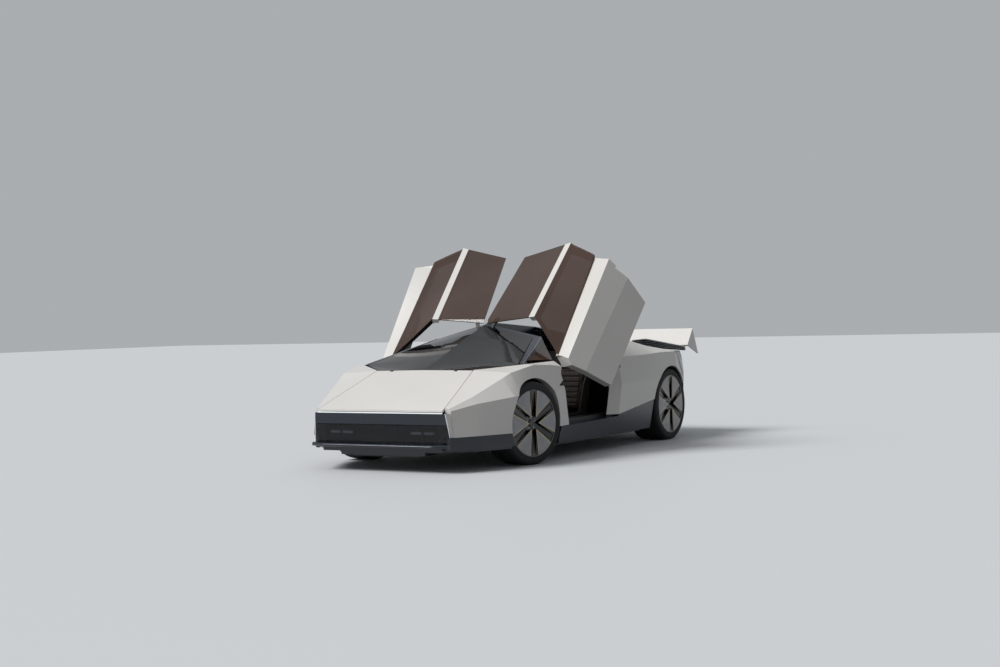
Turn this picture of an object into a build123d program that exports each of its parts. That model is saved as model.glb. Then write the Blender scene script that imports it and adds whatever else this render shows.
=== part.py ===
"""Low two-seat electric supercar with doors that swing up about a slanted line in the screen pillar.

Millimetres.  +Z is up, the nose points along -Y and the car's left side is +X.  The origin is on the
ground, halfway along the car.  The doors are modelled shut and then swung open, because the car
stands with both of them open, and the front wheels stand steered a little to the right.
"""
from build123d import *
import os

os.makedirs("parts", exist_ok=True)

# ---------------------------------------------------------------- driving dimensions
AXLE_FRONT_Y = -1290.0      # front axle line
AXLE_REAR_Y = 1350.0        # rear axle line
TYRE_R = 350.0              # outer radius of every tyre, and height of the wheel centres
RIM_R = 282.0               # radius where the tyre seats
BARREL_WALL = 12.0          # rim barrel thickness
FRONT_TYRE_W = 255.0
REAR_TYRE_W = 305.0
FRONT_FACE_X = 950.0        # outer face of the front wheels when they point straight ahead
REAR_FACE_X = 962.0         # outer face of the rear wheels
STEER_REST = 12.0           # degrees to the right that the front wheels stand at
KINGPIN_IN = 190.0          # from the wheel's outer face in to the steering axis
FRONT_ARCH_R = 384.0        # front wheel opening
FRONT_ARCH_Z = 342.0
FRONT_LINER_R = 416.0       # wheel house inside the fender, which the steered tyre sweeps
FRONT_WALL_X = 905.0        # outboard of this only the fender's wall is near the tyre
REAR_ARCH_R = 402.0         # rear wheel opening
REAR_ARCH_Z = 325.0
LINER_T = 8.0               # wheel-house lining
LINER_IN_X = 500.0          # inner end of the wheel-house linings
LINER_IN = 14.0             # how far the rear lining stays inside the body side

NOSE_Y = -2230.0            # leading edge of the lid
TIP_Y = -2300.0             # foremost point of the splitter
FASCIA_BACK_Y = -2184.0     # rear face of the front fascia
TAIL_Y = 2240.0             # rear face of the body
DIFFUSER_Y = 2300.0         # rearmost point of the diffuser
DIFFUSER_FRONT_Y = 1800.0   # where the flat floor ends and the diffuser begins
SPLITTER_BACK_Y = -2140.0   # where the splitter ends and the flat floor begins
GROUND_GAP = 120.0          # floor above the ground
SHUT_GAP = 6.0              # gap round every panel that moves
SEAM = 3.0                  # gap between fixed panels

HEM_FRONT_Z = 290.0         # lower edge of the painted side ahead of the front wheel
LID_T = 30.0                # front lid thickness
GLASS_T = 10.0              # all glazing
FRAME_T = 45.0              # depth of pillars and rails
RAIL_W = 60.0               # width of the painted rail beside the roof glass
PILLAR_W = 44.0             # width of the screen pillar seen from above
HEADER_W = 46.0             # width of the screen header seen from above
SPINE_W = 40.0              # bar between the roof glasses
SCREEN_FOOT_Y = -1542.0     # front end of the windscreen
HEADER_MID_Y = -515.0       # rear edge of the screen header on the centre line
HEADER_END_Y = -470.0       # and at the cant line
ROOF_GAP = 18.0             # gap behind the header, which the swinging roof edge needs
ROOF_REAR_MID_Y = 328.0     # rear edge of the roof glasses on the centre line
ROOF_REAR_END_Y = 478.0     # and at the cant line
DOOR_OPEN = 53.5            # degrees from shut to the open stop
HINGE_TOP = (0.0, -512.0, 1163.0)     # door hinge line: upper end, at the roof's centre
HINGE_LOW = (930.0, -860.0, 900.0)    # door hinge line: lower end, over the front fender
SEAT_GAP = 0.3              # between a piece and the one that carries it
LEDGE_W = 16.0              # ledge under the edge of glass and panels

# Lower body, one row per station: distance along the car, then half width and height of the deck
# edge, the shoulder crest, the bow line along the side, the painted hem and the keel, then the
# height on the centre line and the wall thickness of the shell there.
BODY = [
    # y,      deck x, z,    crest x, z,   bow x, z,     hem x, z,     keel x, z,   mid z, wall
    (-2230.0, 628.0, 505.0, 640.0, 500.0, 650.0, 490.0, 672.0, 290.0, 640.0, 165.0, 508.0, 36.0),
    (-1960.0, 579.0, 622.0, 737.0, 600.0, 790.0, 548.0, 820.0, 290.0, 790.0, 150.0, 626.0, 36.0),
    (-1640.0, 515.0, 762.0, 830.0, 735.0, 955.0, 590.0, 958.0, 290.0, 925.0, 145.0, 767.0, 36.0),
    (-1540.0, 495.0, 805.0, 858.0, 780.0, 963.0, 597.0, 961.0, 290.0, 928.0, 145.0, 810.0, 36.0),
    (-1265.0, 835.0, 842.0, 918.0, 835.0, 968.0, 604.0, 960.0, 290.0, 925.0, 145.0, 812.0, 40.0),
    (-1000.0, 848.0, 849.0, 938.0, 826.0, 974.0, 606.0, 963.0, 292.0, 930.0, 145.0, 815.0, 60.0),
    (-820.0, 858.0, 854.0, 950.0, 803.0, 976.0, 606.0, 965.0, 296.0, 930.0, 145.0, 820.0, 80.0),
    (300.0, 764.0, 876.0, 943.0, 848.0, 980.0, 604.0, 972.0, 325.0, 930.0, 145.0, 842.0, 80.0),
    (850.0, 770.0, 990.0, 970.0, 856.0, 988.0, 612.0, 975.0, 400.0, 928.0, 145.0, 1085.0, 50.0),
    (1100.0, 835.0, 930.0, 976.0, 867.0, 990.0, 616.0, 975.0, 421.0, 925.0, 145.0, 1052.0, 44.0),
    (1460.0, 955.0, 872.0, 973.0, 866.0, 986.0, 620.0, 968.0, 421.0, 905.0, 160.0, 1000.0, 44.0),
    (1700.0, 872.0, 866.0, 906.0, 790.0, 948.0, 622.0, 940.0, 410.0, 880.0, 180.0, 968.0, 44.0),
    (2240.0, 668.0, 850.0, 688.0, 792.0, 706.0, 640.0, 700.0, 420.0, 660.0, 250.0, 905.0, 44.0),
]
DECK_X = 1                  # column of the deck edge's half width

# Glasshouse, one row per station: distance along the car, then half width and height of the belt,
# of the cant line where roof and side meet, and the height of the roof on the centre line.
HOUSE = [
    # y,      belt x, z,    cant x, z,     ridge z
    (-1542.0, 497.0, 803.0, 300.0, 806.5, 808.0),
    (-1265.0, 837.0, 840.0, 818.0, 846.0, 911.0),
    (-779.0, 858.0, 856.0, 660.0, 975.0, 1098.0),
    (-460.0, 830.0, 861.0, 545.0, 1062.0, 1203.0),
    (465.0, 755.0, 905.0, 497.0, 1024.0, 1140.0),
    (850.0, 768.0, 984.0, 520.0, 1030.0, 1090.0),
]
CANT_X = 3                  # column of the cant line's half width
HOUSE_BASE_Z = 700.0        # the glasshouse solid reaches down inside the body

# Outline of the door seen from the side, shut: distance along the car and height.
DOOR_FRONT = [(-805.0, 900.0), (-805.0, 835.0), (-850.0, 745.0), (-742.0, 296.0)]
DOOR_REAR_TOP = (292.0, 862.0)
DOOR_REAR_FOOT = (192.0, 318.0)
DOOR_BELT_REAR_Y = 324.0    # rear end of the door's shoulder at the window
JAMB_Z = 756.0              # below this height the rear door edge is bevelled
JAMB_SLOPE = 1.2            # travel forward for each unit inward along the bevel


# ---------------------------------------------------------------- shaping helpers
def mirrored_outline(right):
    """Closes an outline that is given from the keel up to the centre line."""
    return right + [(-x, z) for x, z in reversed(right[:-1])]


def body_outline(row, inward):
    """Outline of one body station, moved in and down by inward."""
    y, dx, dz, cx, cz, bx, bz, hx, hz, kx, kz, mid, wall = row
    t = wall if inward else 0.0
    return mirrored_outline([(kx - t, kz + t), (hx - t, hz), (bx - t, bz - t / 2), (cx - t, cz - t),
                             (dx - t, dz - t), (0.0, mid - t)])


def house_outline(row, inward):
    """Outline of one glasshouse station, moved in and down by inward."""
    y, bx, bz, cx, cz, ridge = row
    return mirrored_outline([(bx - inward, HOUSE_BASE_Z), (bx - inward, bz - inward / 2),
                             (cx - inward * 0.7, cz - inward), (0.0, ridge - inward)])


def through(rows, outline, inward):
    """Solid through the stations of a table, with straight lines from one to the next."""
    with BuildPart() as made:
        for row in rows:
            with BuildSketch(Plane.XZ.offset(-row[0])):
                with BuildLine():
                    Polyline(*outline(row, inward), close=True)
                make_face()
        loft(ruled=True)
    return made.part


def plan_prism(points, low=0.0, high=1500.0):
    """Upright prism over an outline seen from above, as (x, y) points."""
    with BuildPart() as made:
        with BuildSketch(Plane.XY.offset(low)):
            with BuildLine():
                Polyline(*points, close=True)
            make_face()
        extrude(amount=high - low)
    return made.part


def side_prism(points, low=-1200.0, high=1200.0):
    """Prism across the car over an outline seen from the side, as (y, z) points."""
    with BuildPart() as made:
        with BuildSketch(Plane.YZ.offset(low)):
            with BuildLine():
                Polyline(*points, close=True)
            make_face()
        extrude(amount=high - low)
    return made.part


def block(x0, x1, y0, y1, z0, z1):
    """Plain box between two corners."""
    with BuildPart() as made:
        with Locations(((x0 + x1) / 2, (y0 + y1) / 2, (z0 + z1) / 2)):
            Box(x1 - x0, y1 - y0, z1 - z0)
    return made.part


def roller(x0, x1, y, z, radius):
    """Cylinder across the car from x0 to x1."""
    with BuildPart() as made:
        with BuildSketch(Plane.YZ.offset(x0)):
            with Locations((y, z)):
                Circle(radius)
        extrude(amount=x1 - x0)
    return made.part


def rod(start, end, radius):
    """Round bar between two points."""
    with BuildPart() as made:
        axis = Vector(*end) - Vector(*start)
        with BuildSketch(Plane(origin=start, z_dir=axis)):
            Circle(radius)
        extrude(amount=axis.length)
    return made.part


def beyond(p, q, r, shift=0.0):
    """Half space on the side that the turn p, q, r faces, starting shift past their plane."""
    normal = (Vector(*q) - Vector(*p)).cross(Vector(*r) - Vector(*p)).normalized()
    start = Vector(*p) + normal * shift
    with BuildPart() as made:
        with BuildSketch(Plane(origin=start, z_dir=normal)):
            Rectangle(7000, 7000)
        extrude(amount=3000)
    return made.part


def keep(name, *shapes):
    """Writes the solids of one node."""
    solids = [s for shape in shapes for s in shape.solids()]
    piece = solids[0] if len(solids) == 1 else Compound(children=solids)
    piece.label = name
    export_step(piece, f"parts/{name}.step")
    print(name, len(solids), round(sum(s.volume for s in solids) / 1e6, 2), "litres", flush=True)


def mirrored(shape):
    """The same piece on the car's right side."""
    return mirror(shape, about=Plane.YZ)


def pair(name, shape):
    """Writes a left node and its mirror twin."""
    keep(name + "_left", shape)
    keep(name + "_right", mirrored(shape))


# ---------------------------------------------------------------- the outer form and its inside
body_outer = through(BODY, body_outline, False)
body_inner = through(BODY, body_outline, True)
house_outer = through(HOUSE, house_outline, 0.0)
house_mid = through(HOUSE, house_outline, GLASS_T)
house_inner = through(HOUSE, house_outline, FRAME_T)

with BuildPart() as body_shell:
    add(body_outer)
    add(body_inner, mode=Mode.SUBTRACT)

# The deck edge seen from above, from the nose to the tail, on the left side.
deck_edge = [(row[DECK_X], row[0]) for row in BODY]


def outside_deck(shift):
    """Prism over everything outboard of the left deck edge."""
    edge = [(x + shift, y) for x, y in deck_edge]
    return plan_prism([(1300.0, BODY[0][0])] + edge + [(1300.0, BODY[-1][0])])


# ---------------------------------------------------------------- front fenders, blade behind the wheel
SLOT = [(-905.0, 640.0), (-905.0, 652.0), (-800.0, 704.0), (-800.0, 640.0)]
door_front_line = [(y - SHUT_GAP, z) for y, z in DOOR_FRONT]
fender_region = side_prism([(FASCIA_BACK_Y + SEAM, HEM_FRONT_Z), (FASCIA_BACK_Y + SEAM, 900.0)]
                           + door_front_line, 0.0, 1200.0)
with BuildPart() as front_fender:
    add(body_shell.part)
    add(fender_region, mode=Mode.INTERSECT)
    add(outside_deck(SEAM), mode=Mode.INTERSECT)
    add(roller(400.0, 1200.0, AXLE_FRONT_Y, FRONT_ARCH_Z, FRONT_ARCH_R), mode=Mode.SUBTRACT)
    add(side_prism(SLOT, 900.0, 1200.0), mode=Mode.SUBTRACT)
pair("front_fender", front_fender.part)

# ---------------------------------------------------------------- front lid
LID_PIN = (-1552.0, 799.0)  # hinge line of the lid: distance along the car and height
LID_PIN_X = 330.0           # the two hinge pins, left and right of the centre line
LID_PIN_R = 3.5
LUG_W = 30.0                # width of the fixed lug round each pin
with BuildPart() as front_lid:
    add(body_outer)
    add(body_outer.moved(Location((0, 0, -LID_T))), mode=Mode.SUBTRACT)
    lid_edge = [(x - SHUT_GAP + SEAM, y) for x, y in deck_edge[:4]]
    lid_edge[0] = (lid_edge[0][0], NOSE_Y + SHUT_GAP)
    lid_edge[3] = (lid_edge[3][0], SCREEN_FOOT_Y - SHUT_GAP)
    add(plan_prism(lid_edge + [(-x, y) for x, y in reversed(lid_edge)]), mode=Mode.INTERSECT)
    add(side_prism([(NOSE_Y, 400.0), (NOSE_Y, 496.0), (NOSE_Y + 30.0, 494.0), (NOSE_Y + 120.0, 515.0),
                    (NOSE_Y + 120.0, 400.0)]), mode=Mode.SUBTRACT)
    for side in (-1, 1):
        add(block(side * LID_PIN_X - LUG_W / 2 - 5.0, side * LID_PIN_X + LUG_W / 2 + 5.0,
                  LID_PIN[0] - 13.0, SCREEN_FOOT_Y, 700.0, 900.0), mode=Mode.SUBTRACT)
        add(roller(side * LID_PIN_X - LUG_W / 2 - 12.0, side * LID_PIN_X + LUG_W / 2 + 12.0,
                   LID_PIN[0], LID_PIN[1], LID_PIN_R))
keep("front_lid", front_lid.part)

# ---------------------------------------------------------------- nose: fascia, light bar, splitter
FASCIA_TOP_Z = 482.0
BAR_T = 9.0                 # height of the light bar under the lid's front edge
fascia_side = side_prism([(NOSE_Y + 2.0, FASCIA_TOP_Z), (FASCIA_BACK_Y - 14.0, HEM_FRONT_Z),
                          (FASCIA_BACK_Y - 14.0, 165.0), (FASCIA_BACK_Y, 165.0), (FASCIA_BACK_Y, 450.0),
                          (NOSE_Y + 24.0, FASCIA_TOP_Z)])
GRILLE_X = 560.0            # half width of the grille opening
GRILLE_LOW_Z = 215.0
GRILLE_TOP_Z = 385.0
GRILLE_BARS = 3
with BuildPart() as front_fascia:
    add(body_outer)
    add(fascia_side, mode=Mode.INTERSECT)
    for side in (-1, 1):
        add(block(side * 680.0 - 83.0, side * 680.0 + 83.0, NOSE_Y - 10.0, FASCIA_BACK_Y + 10.0,
                  100.0, HEM_FRONT_Z), mode=Mode.SUBTRACT)
    add(block(-GRILLE_X, GRILLE_X, NOSE_Y - 10.0, FASCIA_BACK_Y + 10.0, GRILLE_LOW_Z, GRILLE_TOP_Z),
        mode=Mode.SUBTRACT)
keep("front_fascia", front_fascia.part)

with BuildPart() as light_bar:
    with Locations((0.0, NOSE_Y + 4.0, FASCIA_TOP_Z + BAR_T / 2)):
        Box(2 * 624.0, 12.0, BAR_T)
keep("light_bar", light_bar.part)

with BuildPart() as grille:
    with Locations((0.0, FASCIA_BACK_Y + SEAT_GAP + 5.0, (GRILLE_LOW_Z + GRILLE_TOP_Z) / 2)):
        Box(2 * GRILLE_X + 40.0, 10.0, GRILLE_TOP_Z - GRILLE_LOW_Z + 40.0)
    for i in range(GRILLE_BARS):
        bar_z = GRILLE_LOW_Z + (i + 1) * (GRILLE_TOP_Z - GRILLE_LOW_Z) / (GRILLE_BARS + 1)
        add(block(-GRILLE_X + 4.0, GRILLE_X - 4.0, FASCIA_BACK_Y - 10.0, FASCIA_BACK_Y + 4.0,
                  bar_z - 4.0, bar_z + 4.0))
keep("grille", grille.part)

# A blade crosses the nose below the grille and its ends run into the side lips.  A tray joins the lips
# from below, set back behind the blade, and its thick middle meets the flat floor.
BLADE_LOW_Z = 203.0
BLADE_TOP_Z = 235.0
LIP_LOW_Z = 185.0
TRAY_T = 22.0
TRAY_LOW_Z = 134.0          # underside of the tray's thick middle
with BuildPart() as splitter:
    blade_left = [(550.0, TIP_Y), (676.0, -2250.0), (676.0, FASCIA_BACK_Y - 14.0 - SEAT_GAP)]
    add(plan_prism(blade_left + [(-x, y) for x, y in reversed(blade_left)],
                   low=BLADE_LOW_Z, high=BLADE_TOP_Z))
    tray_left = [(520.0, FASCIA_BACK_Y + SEAT_GAP), (790.0, -1980.0), (868.0, -1800.0), (925.0, -1650.0),
                 (500.0, -1650.0), (500.0, SPLITTER_BACK_Y)]
    add(plan_prism(tray_left + [(-x, y) for x, y in reversed(tray_left)],
                   low=LIP_LOW_Z + 2.0 - TRAY_T, high=LIP_LOW_Z + 2.0))
    add(block(-420.0, 420.0, FASCIA_BACK_Y + SEAT_GAP, SPLITTER_BACK_Y, TRAY_LOW_Z, LIP_LOW_Z))
    for side in (-1, 1):
        with BuildSketch(Plane.XY.offset(LIP_LOW_Z)):
            with BuildLine():
                Polyline((side * 610.0, -2196.0), (side * 640.0, -2200.0), (side * 676.0, -2200.0),
                         (side * 817.0, -1960.0), (side * 884.0, -1800.0), (side * 948.0, -1650.0),
                         (side * 900.0, -1650.0), (side * 835.0, -1800.0), (side * 640.0, -2170.0),
                         close=True)
            make_face()
        extrude(amount=HEM_FRONT_Z - SEAT_GAP - LIP_LOW_Z)
    add(roller(-1200.0, 1200.0, AXLE_FRONT_Y, FRONT_ARCH_Z, FRONT_ARCH_R), mode=Mode.SUBTRACT)
    add(roller(-FRONT_WALL_X, FRONT_WALL_X, AXLE_FRONT_Y, TYRE_R, FRONT_LINER_R), mode=Mode.SUBTRACT)
keep("splitter", splitter.part)

# ---------------------------------------------------------------- tub: floor, sills, bulkheads
TUB_X = 836.0
SILL_IN_X = 720.0
SILL_Z = 330.0
TUB_FRONT_Y = -868.0
TUB_REAR_Y = 900.0
FLOOR_T = 30.0
FLOOR_TOP_Z = GROUND_GAP + FLOOR_T
BACK_Y = 500.0              # rear bulkhead
with BuildPart() as tub:
    add(block(-TUB_X, TUB_X, TUB_FRONT_Y, TUB_REAR_Y, GROUND_GAP, FLOOR_TOP_Z))
    for side in (-1, 1):
        sill_mid = side * (TUB_X + SILL_IN_X) / 2
        with Locations((sill_mid, (TUB_FRONT_Y + TUB_REAR_Y) / 2, (GROUND_GAP + SILL_Z) / 2)):
            Box(TUB_X - SILL_IN_X, TUB_REAR_Y - TUB_FRONT_Y, SILL_Z - GROUND_GAP)
    add(block(-SILL_IN_X, SILL_IN_X, TUB_FRONT_Y, TUB_FRONT_Y + 40.0, GROUND_GAP, 760.0))
    add(block(-SILL_IN_X, SILL_IN_X, BACK_Y, BACK_Y + 40.0, GROUND_GAP, 860.0))
    add(block(-95.0, 95.0, TUB_FRONT_Y, BACK_Y, GROUND_GAP, 300.0))
    add(block(-330.0, 330.0, SPLITTER_BACK_Y, TUB_FRONT_Y, GROUND_GAP, FLOOR_TOP_Z))
    add(block(-420.0, 420.0, TUB_REAR_Y, DIFFUSER_FRONT_Y, GROUND_GAP, FLOOR_TOP_Z))
keep("tub", tub.part)

with BuildPart() as side_skirts:
    add(body_outer)
    add(block(TUB_X + SEAT_GAP, 1200.0, -1200.0, 1200.0, GROUND_GAP, 420.0), mode=Mode.INTERSECT)
    add(side_prism([(-890.0, 100.0), (-890.0, 295.0), (-832.0, 295.3), (-826.0, 288.0), (190.0, 308.5),
                    (206.0, 327.4), (940.0, 418.7), (940.0, 100.0)]), mode=Mode.INTERSECT)
    add(roller(0.0, 1200.0, AXLE_FRONT_Y, TYRE_R, FRONT_LINER_R), mode=Mode.SUBTRACT)
    add(roller(0.0, 1200.0, AXLE_REAR_Y, REAR_ARCH_Z, REAR_ARCH_R), mode=Mode.SUBTRACT)
keep("side_skirts", side_skirts.part, mirrored(side_skirts.part))

with BuildPart() as battery_pack:
    add(block(-520.0, 520.0, BACK_Y + 40.0, 900.0, FLOOR_TOP_Z, 640.0))
keep("battery_pack", battery_pack.part)

with BuildPart() as drive_unit:
    add(roller(-190.0, 190.0, AXLE_REAR_Y, TYRE_R, 150.0))
    add(block(-150.0, 150.0, 1120.0, 1360.0, FLOOR_TOP_Z + SEAT_GAP, 480.0))
keep("drive_unit", drive_unit.part)

# ---------------------------------------------------------------- luggage tub under the lid
with BuildPart() as luggage_tub:
    add(block(-440.0, 440.0, -2120.0, -1600.0, 230.0, 900.0))
    add(block(-432.0, 432.0, -2112.0, -1608.0, 238.0, 1000.0), mode=Mode.SUBTRACT)
    add(body_outer.moved(Location((0, 0, -LID_T - 10.0))), mode=Mode.INTERSECT)
    for y in (-2070.0, -1660.0):
        add(block(-300.0, 300.0, y - 20.0, y + 20.0, FLOOR_TOP_Z + SEAT_GAP, 231.0))
keep("luggage_tub", luggage_tub.part)

# ---------------------------------------------------------------- glasshouse: screen, frame, quarter glass
with BuildPart() as glass_skin:
    add(house_outer)
    add(house_mid, mode=Mode.SUBTRACT)
with BuildPart() as frame_skin:
    add(house_outer)
    add(house_inner, mode=Mode.SUBTRACT)

HEADER_END_X = 552.0
HINGE_SLOT = (56.0, 100.0)  # slot in the header for the door's hinge eye, measured down the hinge line
HINGE_PIN_R = 5.0
HINGE_EYE_R = 10.0
EYE_PLAY = 0.05
PILLAR_TOP = (545.0, -460.0)
HEADER_FRONT_MID = (0.0, HEADER_MID_Y - HEADER_W)
screen_left = [(0.0, SCREEN_FOOT_Y + SEAM), (478.0, SCREEN_FOOT_Y + SEAM), (780.0, -1285.0),
               (PILLAR_TOP[0] - PILLAR_W, PILLAR_TOP[1] - HEADER_W - 30.0), HEADER_FRONT_MID]
screen_plan = screen_left + [(-x, y) for x, y in reversed(screen_left[1:-1])]
hinge_dir = (Vector(*HINGE_LOW) - Vector(*HINGE_TOP)).normalized()
hinge_back = (Vector(0, 1, 0) - hinge_dir * hinge_dir.Y).normalized()


def hinge_plane(along):
    """Plane square to the left hinge line, with its x direction pointing back from the line."""
    return Plane(origin=Vector(*HINGE_TOP) + hinge_dir * along, x_dir=hinge_back, z_dir=hinge_dir)


def hinge_slab(points, start, end):
    """Prism along the hinge line over an outline square to it, as (back, up) points."""
    with BuildPart() as made:
        with BuildSketch(hinge_plane(start)):
            with BuildLine():
                Polyline(*points, close=True)
            make_face()
        extrude(amount=end - start)
    return made.part


def hinge_bar(radius, start, end):
    """Cylinder on the hinge line."""
    with BuildPart() as made:
        with BuildSketch(hinge_plane(start)):
            Circle(radius)
        extrude(amount=end - start)
    return made.part


with BuildPart() as windshield:
    add(glass_skin.part)
    add(plan_prism(screen_plan, 790.0), mode=Mode.INTERSECT)
keep("windshield", windshield.part)

# Screen frame: a band outside the screen up to the header's rear edge and the door's front edge, with
# a ledge under the edge of the glass.  Below the pillar its side opens for the quarter glass.
# The window's front edge is upright in plan, so that the door can swing past the fixed pillar.
WINDOW_FRONT = [(545.0, -452.0), (1100.0, -1080.0)]     # line of that edge seen from above
QUARTER_TOP = [(-1180.0, 862.0), (-500.0, 1026.0)]
QUARTER_GAP = 11.0          # gap ahead of the side window, which its swinging post needs
window_sweep = plan_prism([(x, y - QUARTER_GAP) for x, y in WINDOW_FRONT] + [(1100.0, 0.0), (545.0, 0.0)])
frame_left = [(HEADER_END_X, HEADER_END_Y), (864.0, -806.0), (864.0, -1262.0), (786.0, -1262.0)]
frame_in = [(PILLAR_TOP[0] - PILLAR_W + SEAM, PILLAR_TOP[1] - HEADER_W - 28.0),
            (0.0, HEADER_MID_Y - HEADER_W + SEAM)]
ledge_in = [(770.0, -1262.0), (PILLAR_TOP[0] - PILLAR_W - LEDGE_W, PILLAR_TOP[1] - HEADER_W - 44.0),
            (0.0, HEADER_MID_Y - HEADER_W - LEDGE_W)]


def across(left):
    """Outline seen from above from its left half, which starts behind the centre line."""
    return [(0.0, HEADER_MID_Y)] + left + [(-x, y) for x, y in reversed(left) if x > 0.0]


with BuildPart() as screen_frame:
    add(frame_skin.part)
    add(plan_prism(across(frame_left + frame_in), 700.0), mode=Mode.INTERSECT)
    add(side_prism([(-1200.0, 600.0), (-1200.0, 850.0)] + QUARTER_TOP + [(-400.0, 1040.0), (-400.0, 600.0)]),
        mode=Mode.SUBTRACT)
    below_quarter = [(-1300.0, 600.0), (-1300.0, 838.0), (-700.0, 838.0), (-700.0, 600.0)]
    add(side_prism(below_quarter), mode=Mode.SUBTRACT)
with BuildPart() as screen_ledge:
    add(house_mid.moved(Location((0, 0, -SEAT_GAP))))
    add(house_inner, mode=Mode.SUBTRACT)
    add(plan_prism(across([(500.0, -506.0), (780.0, -1262.0)] + ledge_in), 700.0), mode=Mode.INTERSECT)
with BuildPart() as screen_frame_whole:
    add(screen_frame.part)
    add(screen_ledge.part)
    add(block(-SPINE_W / 2, SPINE_W / 2, HEADER_MID_Y - 10.0, ROOF_REAR_MID_Y + SHUT_GAP - SEAT_GAP,
              1080.0, 1300.0))
    add(house_outer, mode=Mode.INTERSECT)
    add(window_sweep, mode=Mode.SUBTRACT)
    add(mirrored(window_sweep), mode=Mode.SUBTRACT)
    slot_start, slot_end = HINGE_SLOT
    slot = hinge_slab([(-12.0, -13.0), (90.0, -13.0), (90.0, 60.0), (-12.0, 60.0)], slot_start, slot_end)
    pin = hinge_bar(HINGE_PIN_R, slot_start - 8.0, slot_end + 8.0)
    for shape in (slot, mirrored(slot)):
        add(shape, mode=Mode.SUBTRACT)
    for shape in (pin, mirrored(pin)):
        add(shape)
keep("screen_frame", screen_frame_whole.part)

with BuildPart() as quarter_glass:
    add(glass_skin.part)
    add(side_prism([(-1150.0, QUARTER_TOP[0][1] + 8.4), (QUARTER_TOP[1][0] + 50.0, QUARTER_TOP[1][1] + 13.2),
                    (QUARTER_TOP[1][0] + 50.0, 858.0)], 0.0, 1200.0), mode=Mode.INTERSECT)
    add(window_sweep, mode=Mode.SUBTRACT)
    add(screen_frame_whole.part, mode=Mode.SUBTRACT)
    add(screen_frame_whole.part.moved(Location((0, 0, -SEAT_GAP))), mode=Mode.SUBTRACT)
quarter_pane = quarter_glass.part.solids().sort_by(SortBy.VOLUME)[-1]
keep("quarter_glass", quarter_pane, mirrored(quarter_pane))

# ---------------------------------------------------------------- rear fenders
wall_foot = (975.0, DOOR_REAR_FOOT[0], DOOR_REAR_FOOT[1])
wall_top = (975.0, DOOR_REAR_TOP[0], DOOR_REAR_TOP[1])
wall_in = (875.0, DOOR_REAR_FOOT[0] - 100.0 * JAMB_SLOPE, DOOR_REAR_FOOT[1])
shelf_out = (941.0, 289.0, 848.0)
shelf_in = (762.0, DOOR_BELT_REAR_Y, 876.0)
swing = hinge_dir.cross(Vector(*shelf_out) - Vector(*HINGE_TOP))
shelf_up = tuple(Vector(*shelf_out) + swing)

FENDER_END = [(1470.0, 900.0), (1660.0, 665.0), (1690.0, 560.0), (1690.0, 400.0)]
with BuildPart() as rear_fender:
    add(body_shell.part)
    add(outside_deck(SEAM), mode=Mode.INTERSECT)
    fender_hem = [(100.0, 326.0), (192.0, 326.0), (940.0, 419.0), (1690.0, 419.0)]
    fender_side = fender_hem + list(reversed(FENDER_END)) + [(1460.0, 1100.0), (100.0, 1100.0)]
    add(side_prism(fender_side, 0.0, 1200.0), mode=Mode.INTERSECT)
    add(roller(400.0, 1200.0, AXLE_REAR_Y, REAR_ARCH_Z, REAR_ARCH_R), mode=Mode.SUBTRACT)
with BuildPart() as fender_wall:
    add(rear_fender.part)
    add(block(0.0, 1200.0, -200.0, 2000.0, 0.0, JAMB_Z - SHUT_GAP), mode=Mode.INTERSECT)
    add(beyond(wall_foot, wall_in, wall_top, SHUT_GAP), mode=Mode.INTERSECT)
with BuildPart() as fender_top:
    add(rear_fender.part)
    add(block(0.0, 1200.0, -200.0, 2000.0, JAMB_Z - SHUT_GAP, 1200.0), mode=Mode.INTERSECT)
    add(beyond(shelf_out, shelf_in, shelf_up, SHUT_GAP), mode=Mode.INTERSECT)
with BuildPart() as rear_fender_whole:
    add(fender_wall.part)
    add(fender_top.part)
pair("rear_fender", rear_fender_whole.part)

# ---------------------------------------------------------------- rear deck with its slats
DECK_T = 18.0
SLAT_PITCH = 115.0
SLAT_H = 14.0
with BuildPart() as deck_skin:
    add(body_outer)
    add(body_outer.moved(Location((0, 0, -DECK_T))), mode=Mode.SUBTRACT)
    inner_edge = [(row[DECK_X] - SEAM, row[0]) for row in BODY if row[0] >= 850.0]
    inner_edge[-1] = (inner_edge[-1][0], TAIL_Y - 42.0)
    inner_right = [(-x, y) for x, y in reversed(inner_edge)]
    add(plan_prism([(0.0, 850.0)] + inner_edge + inner_right), mode=Mode.INTERSECT)
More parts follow.
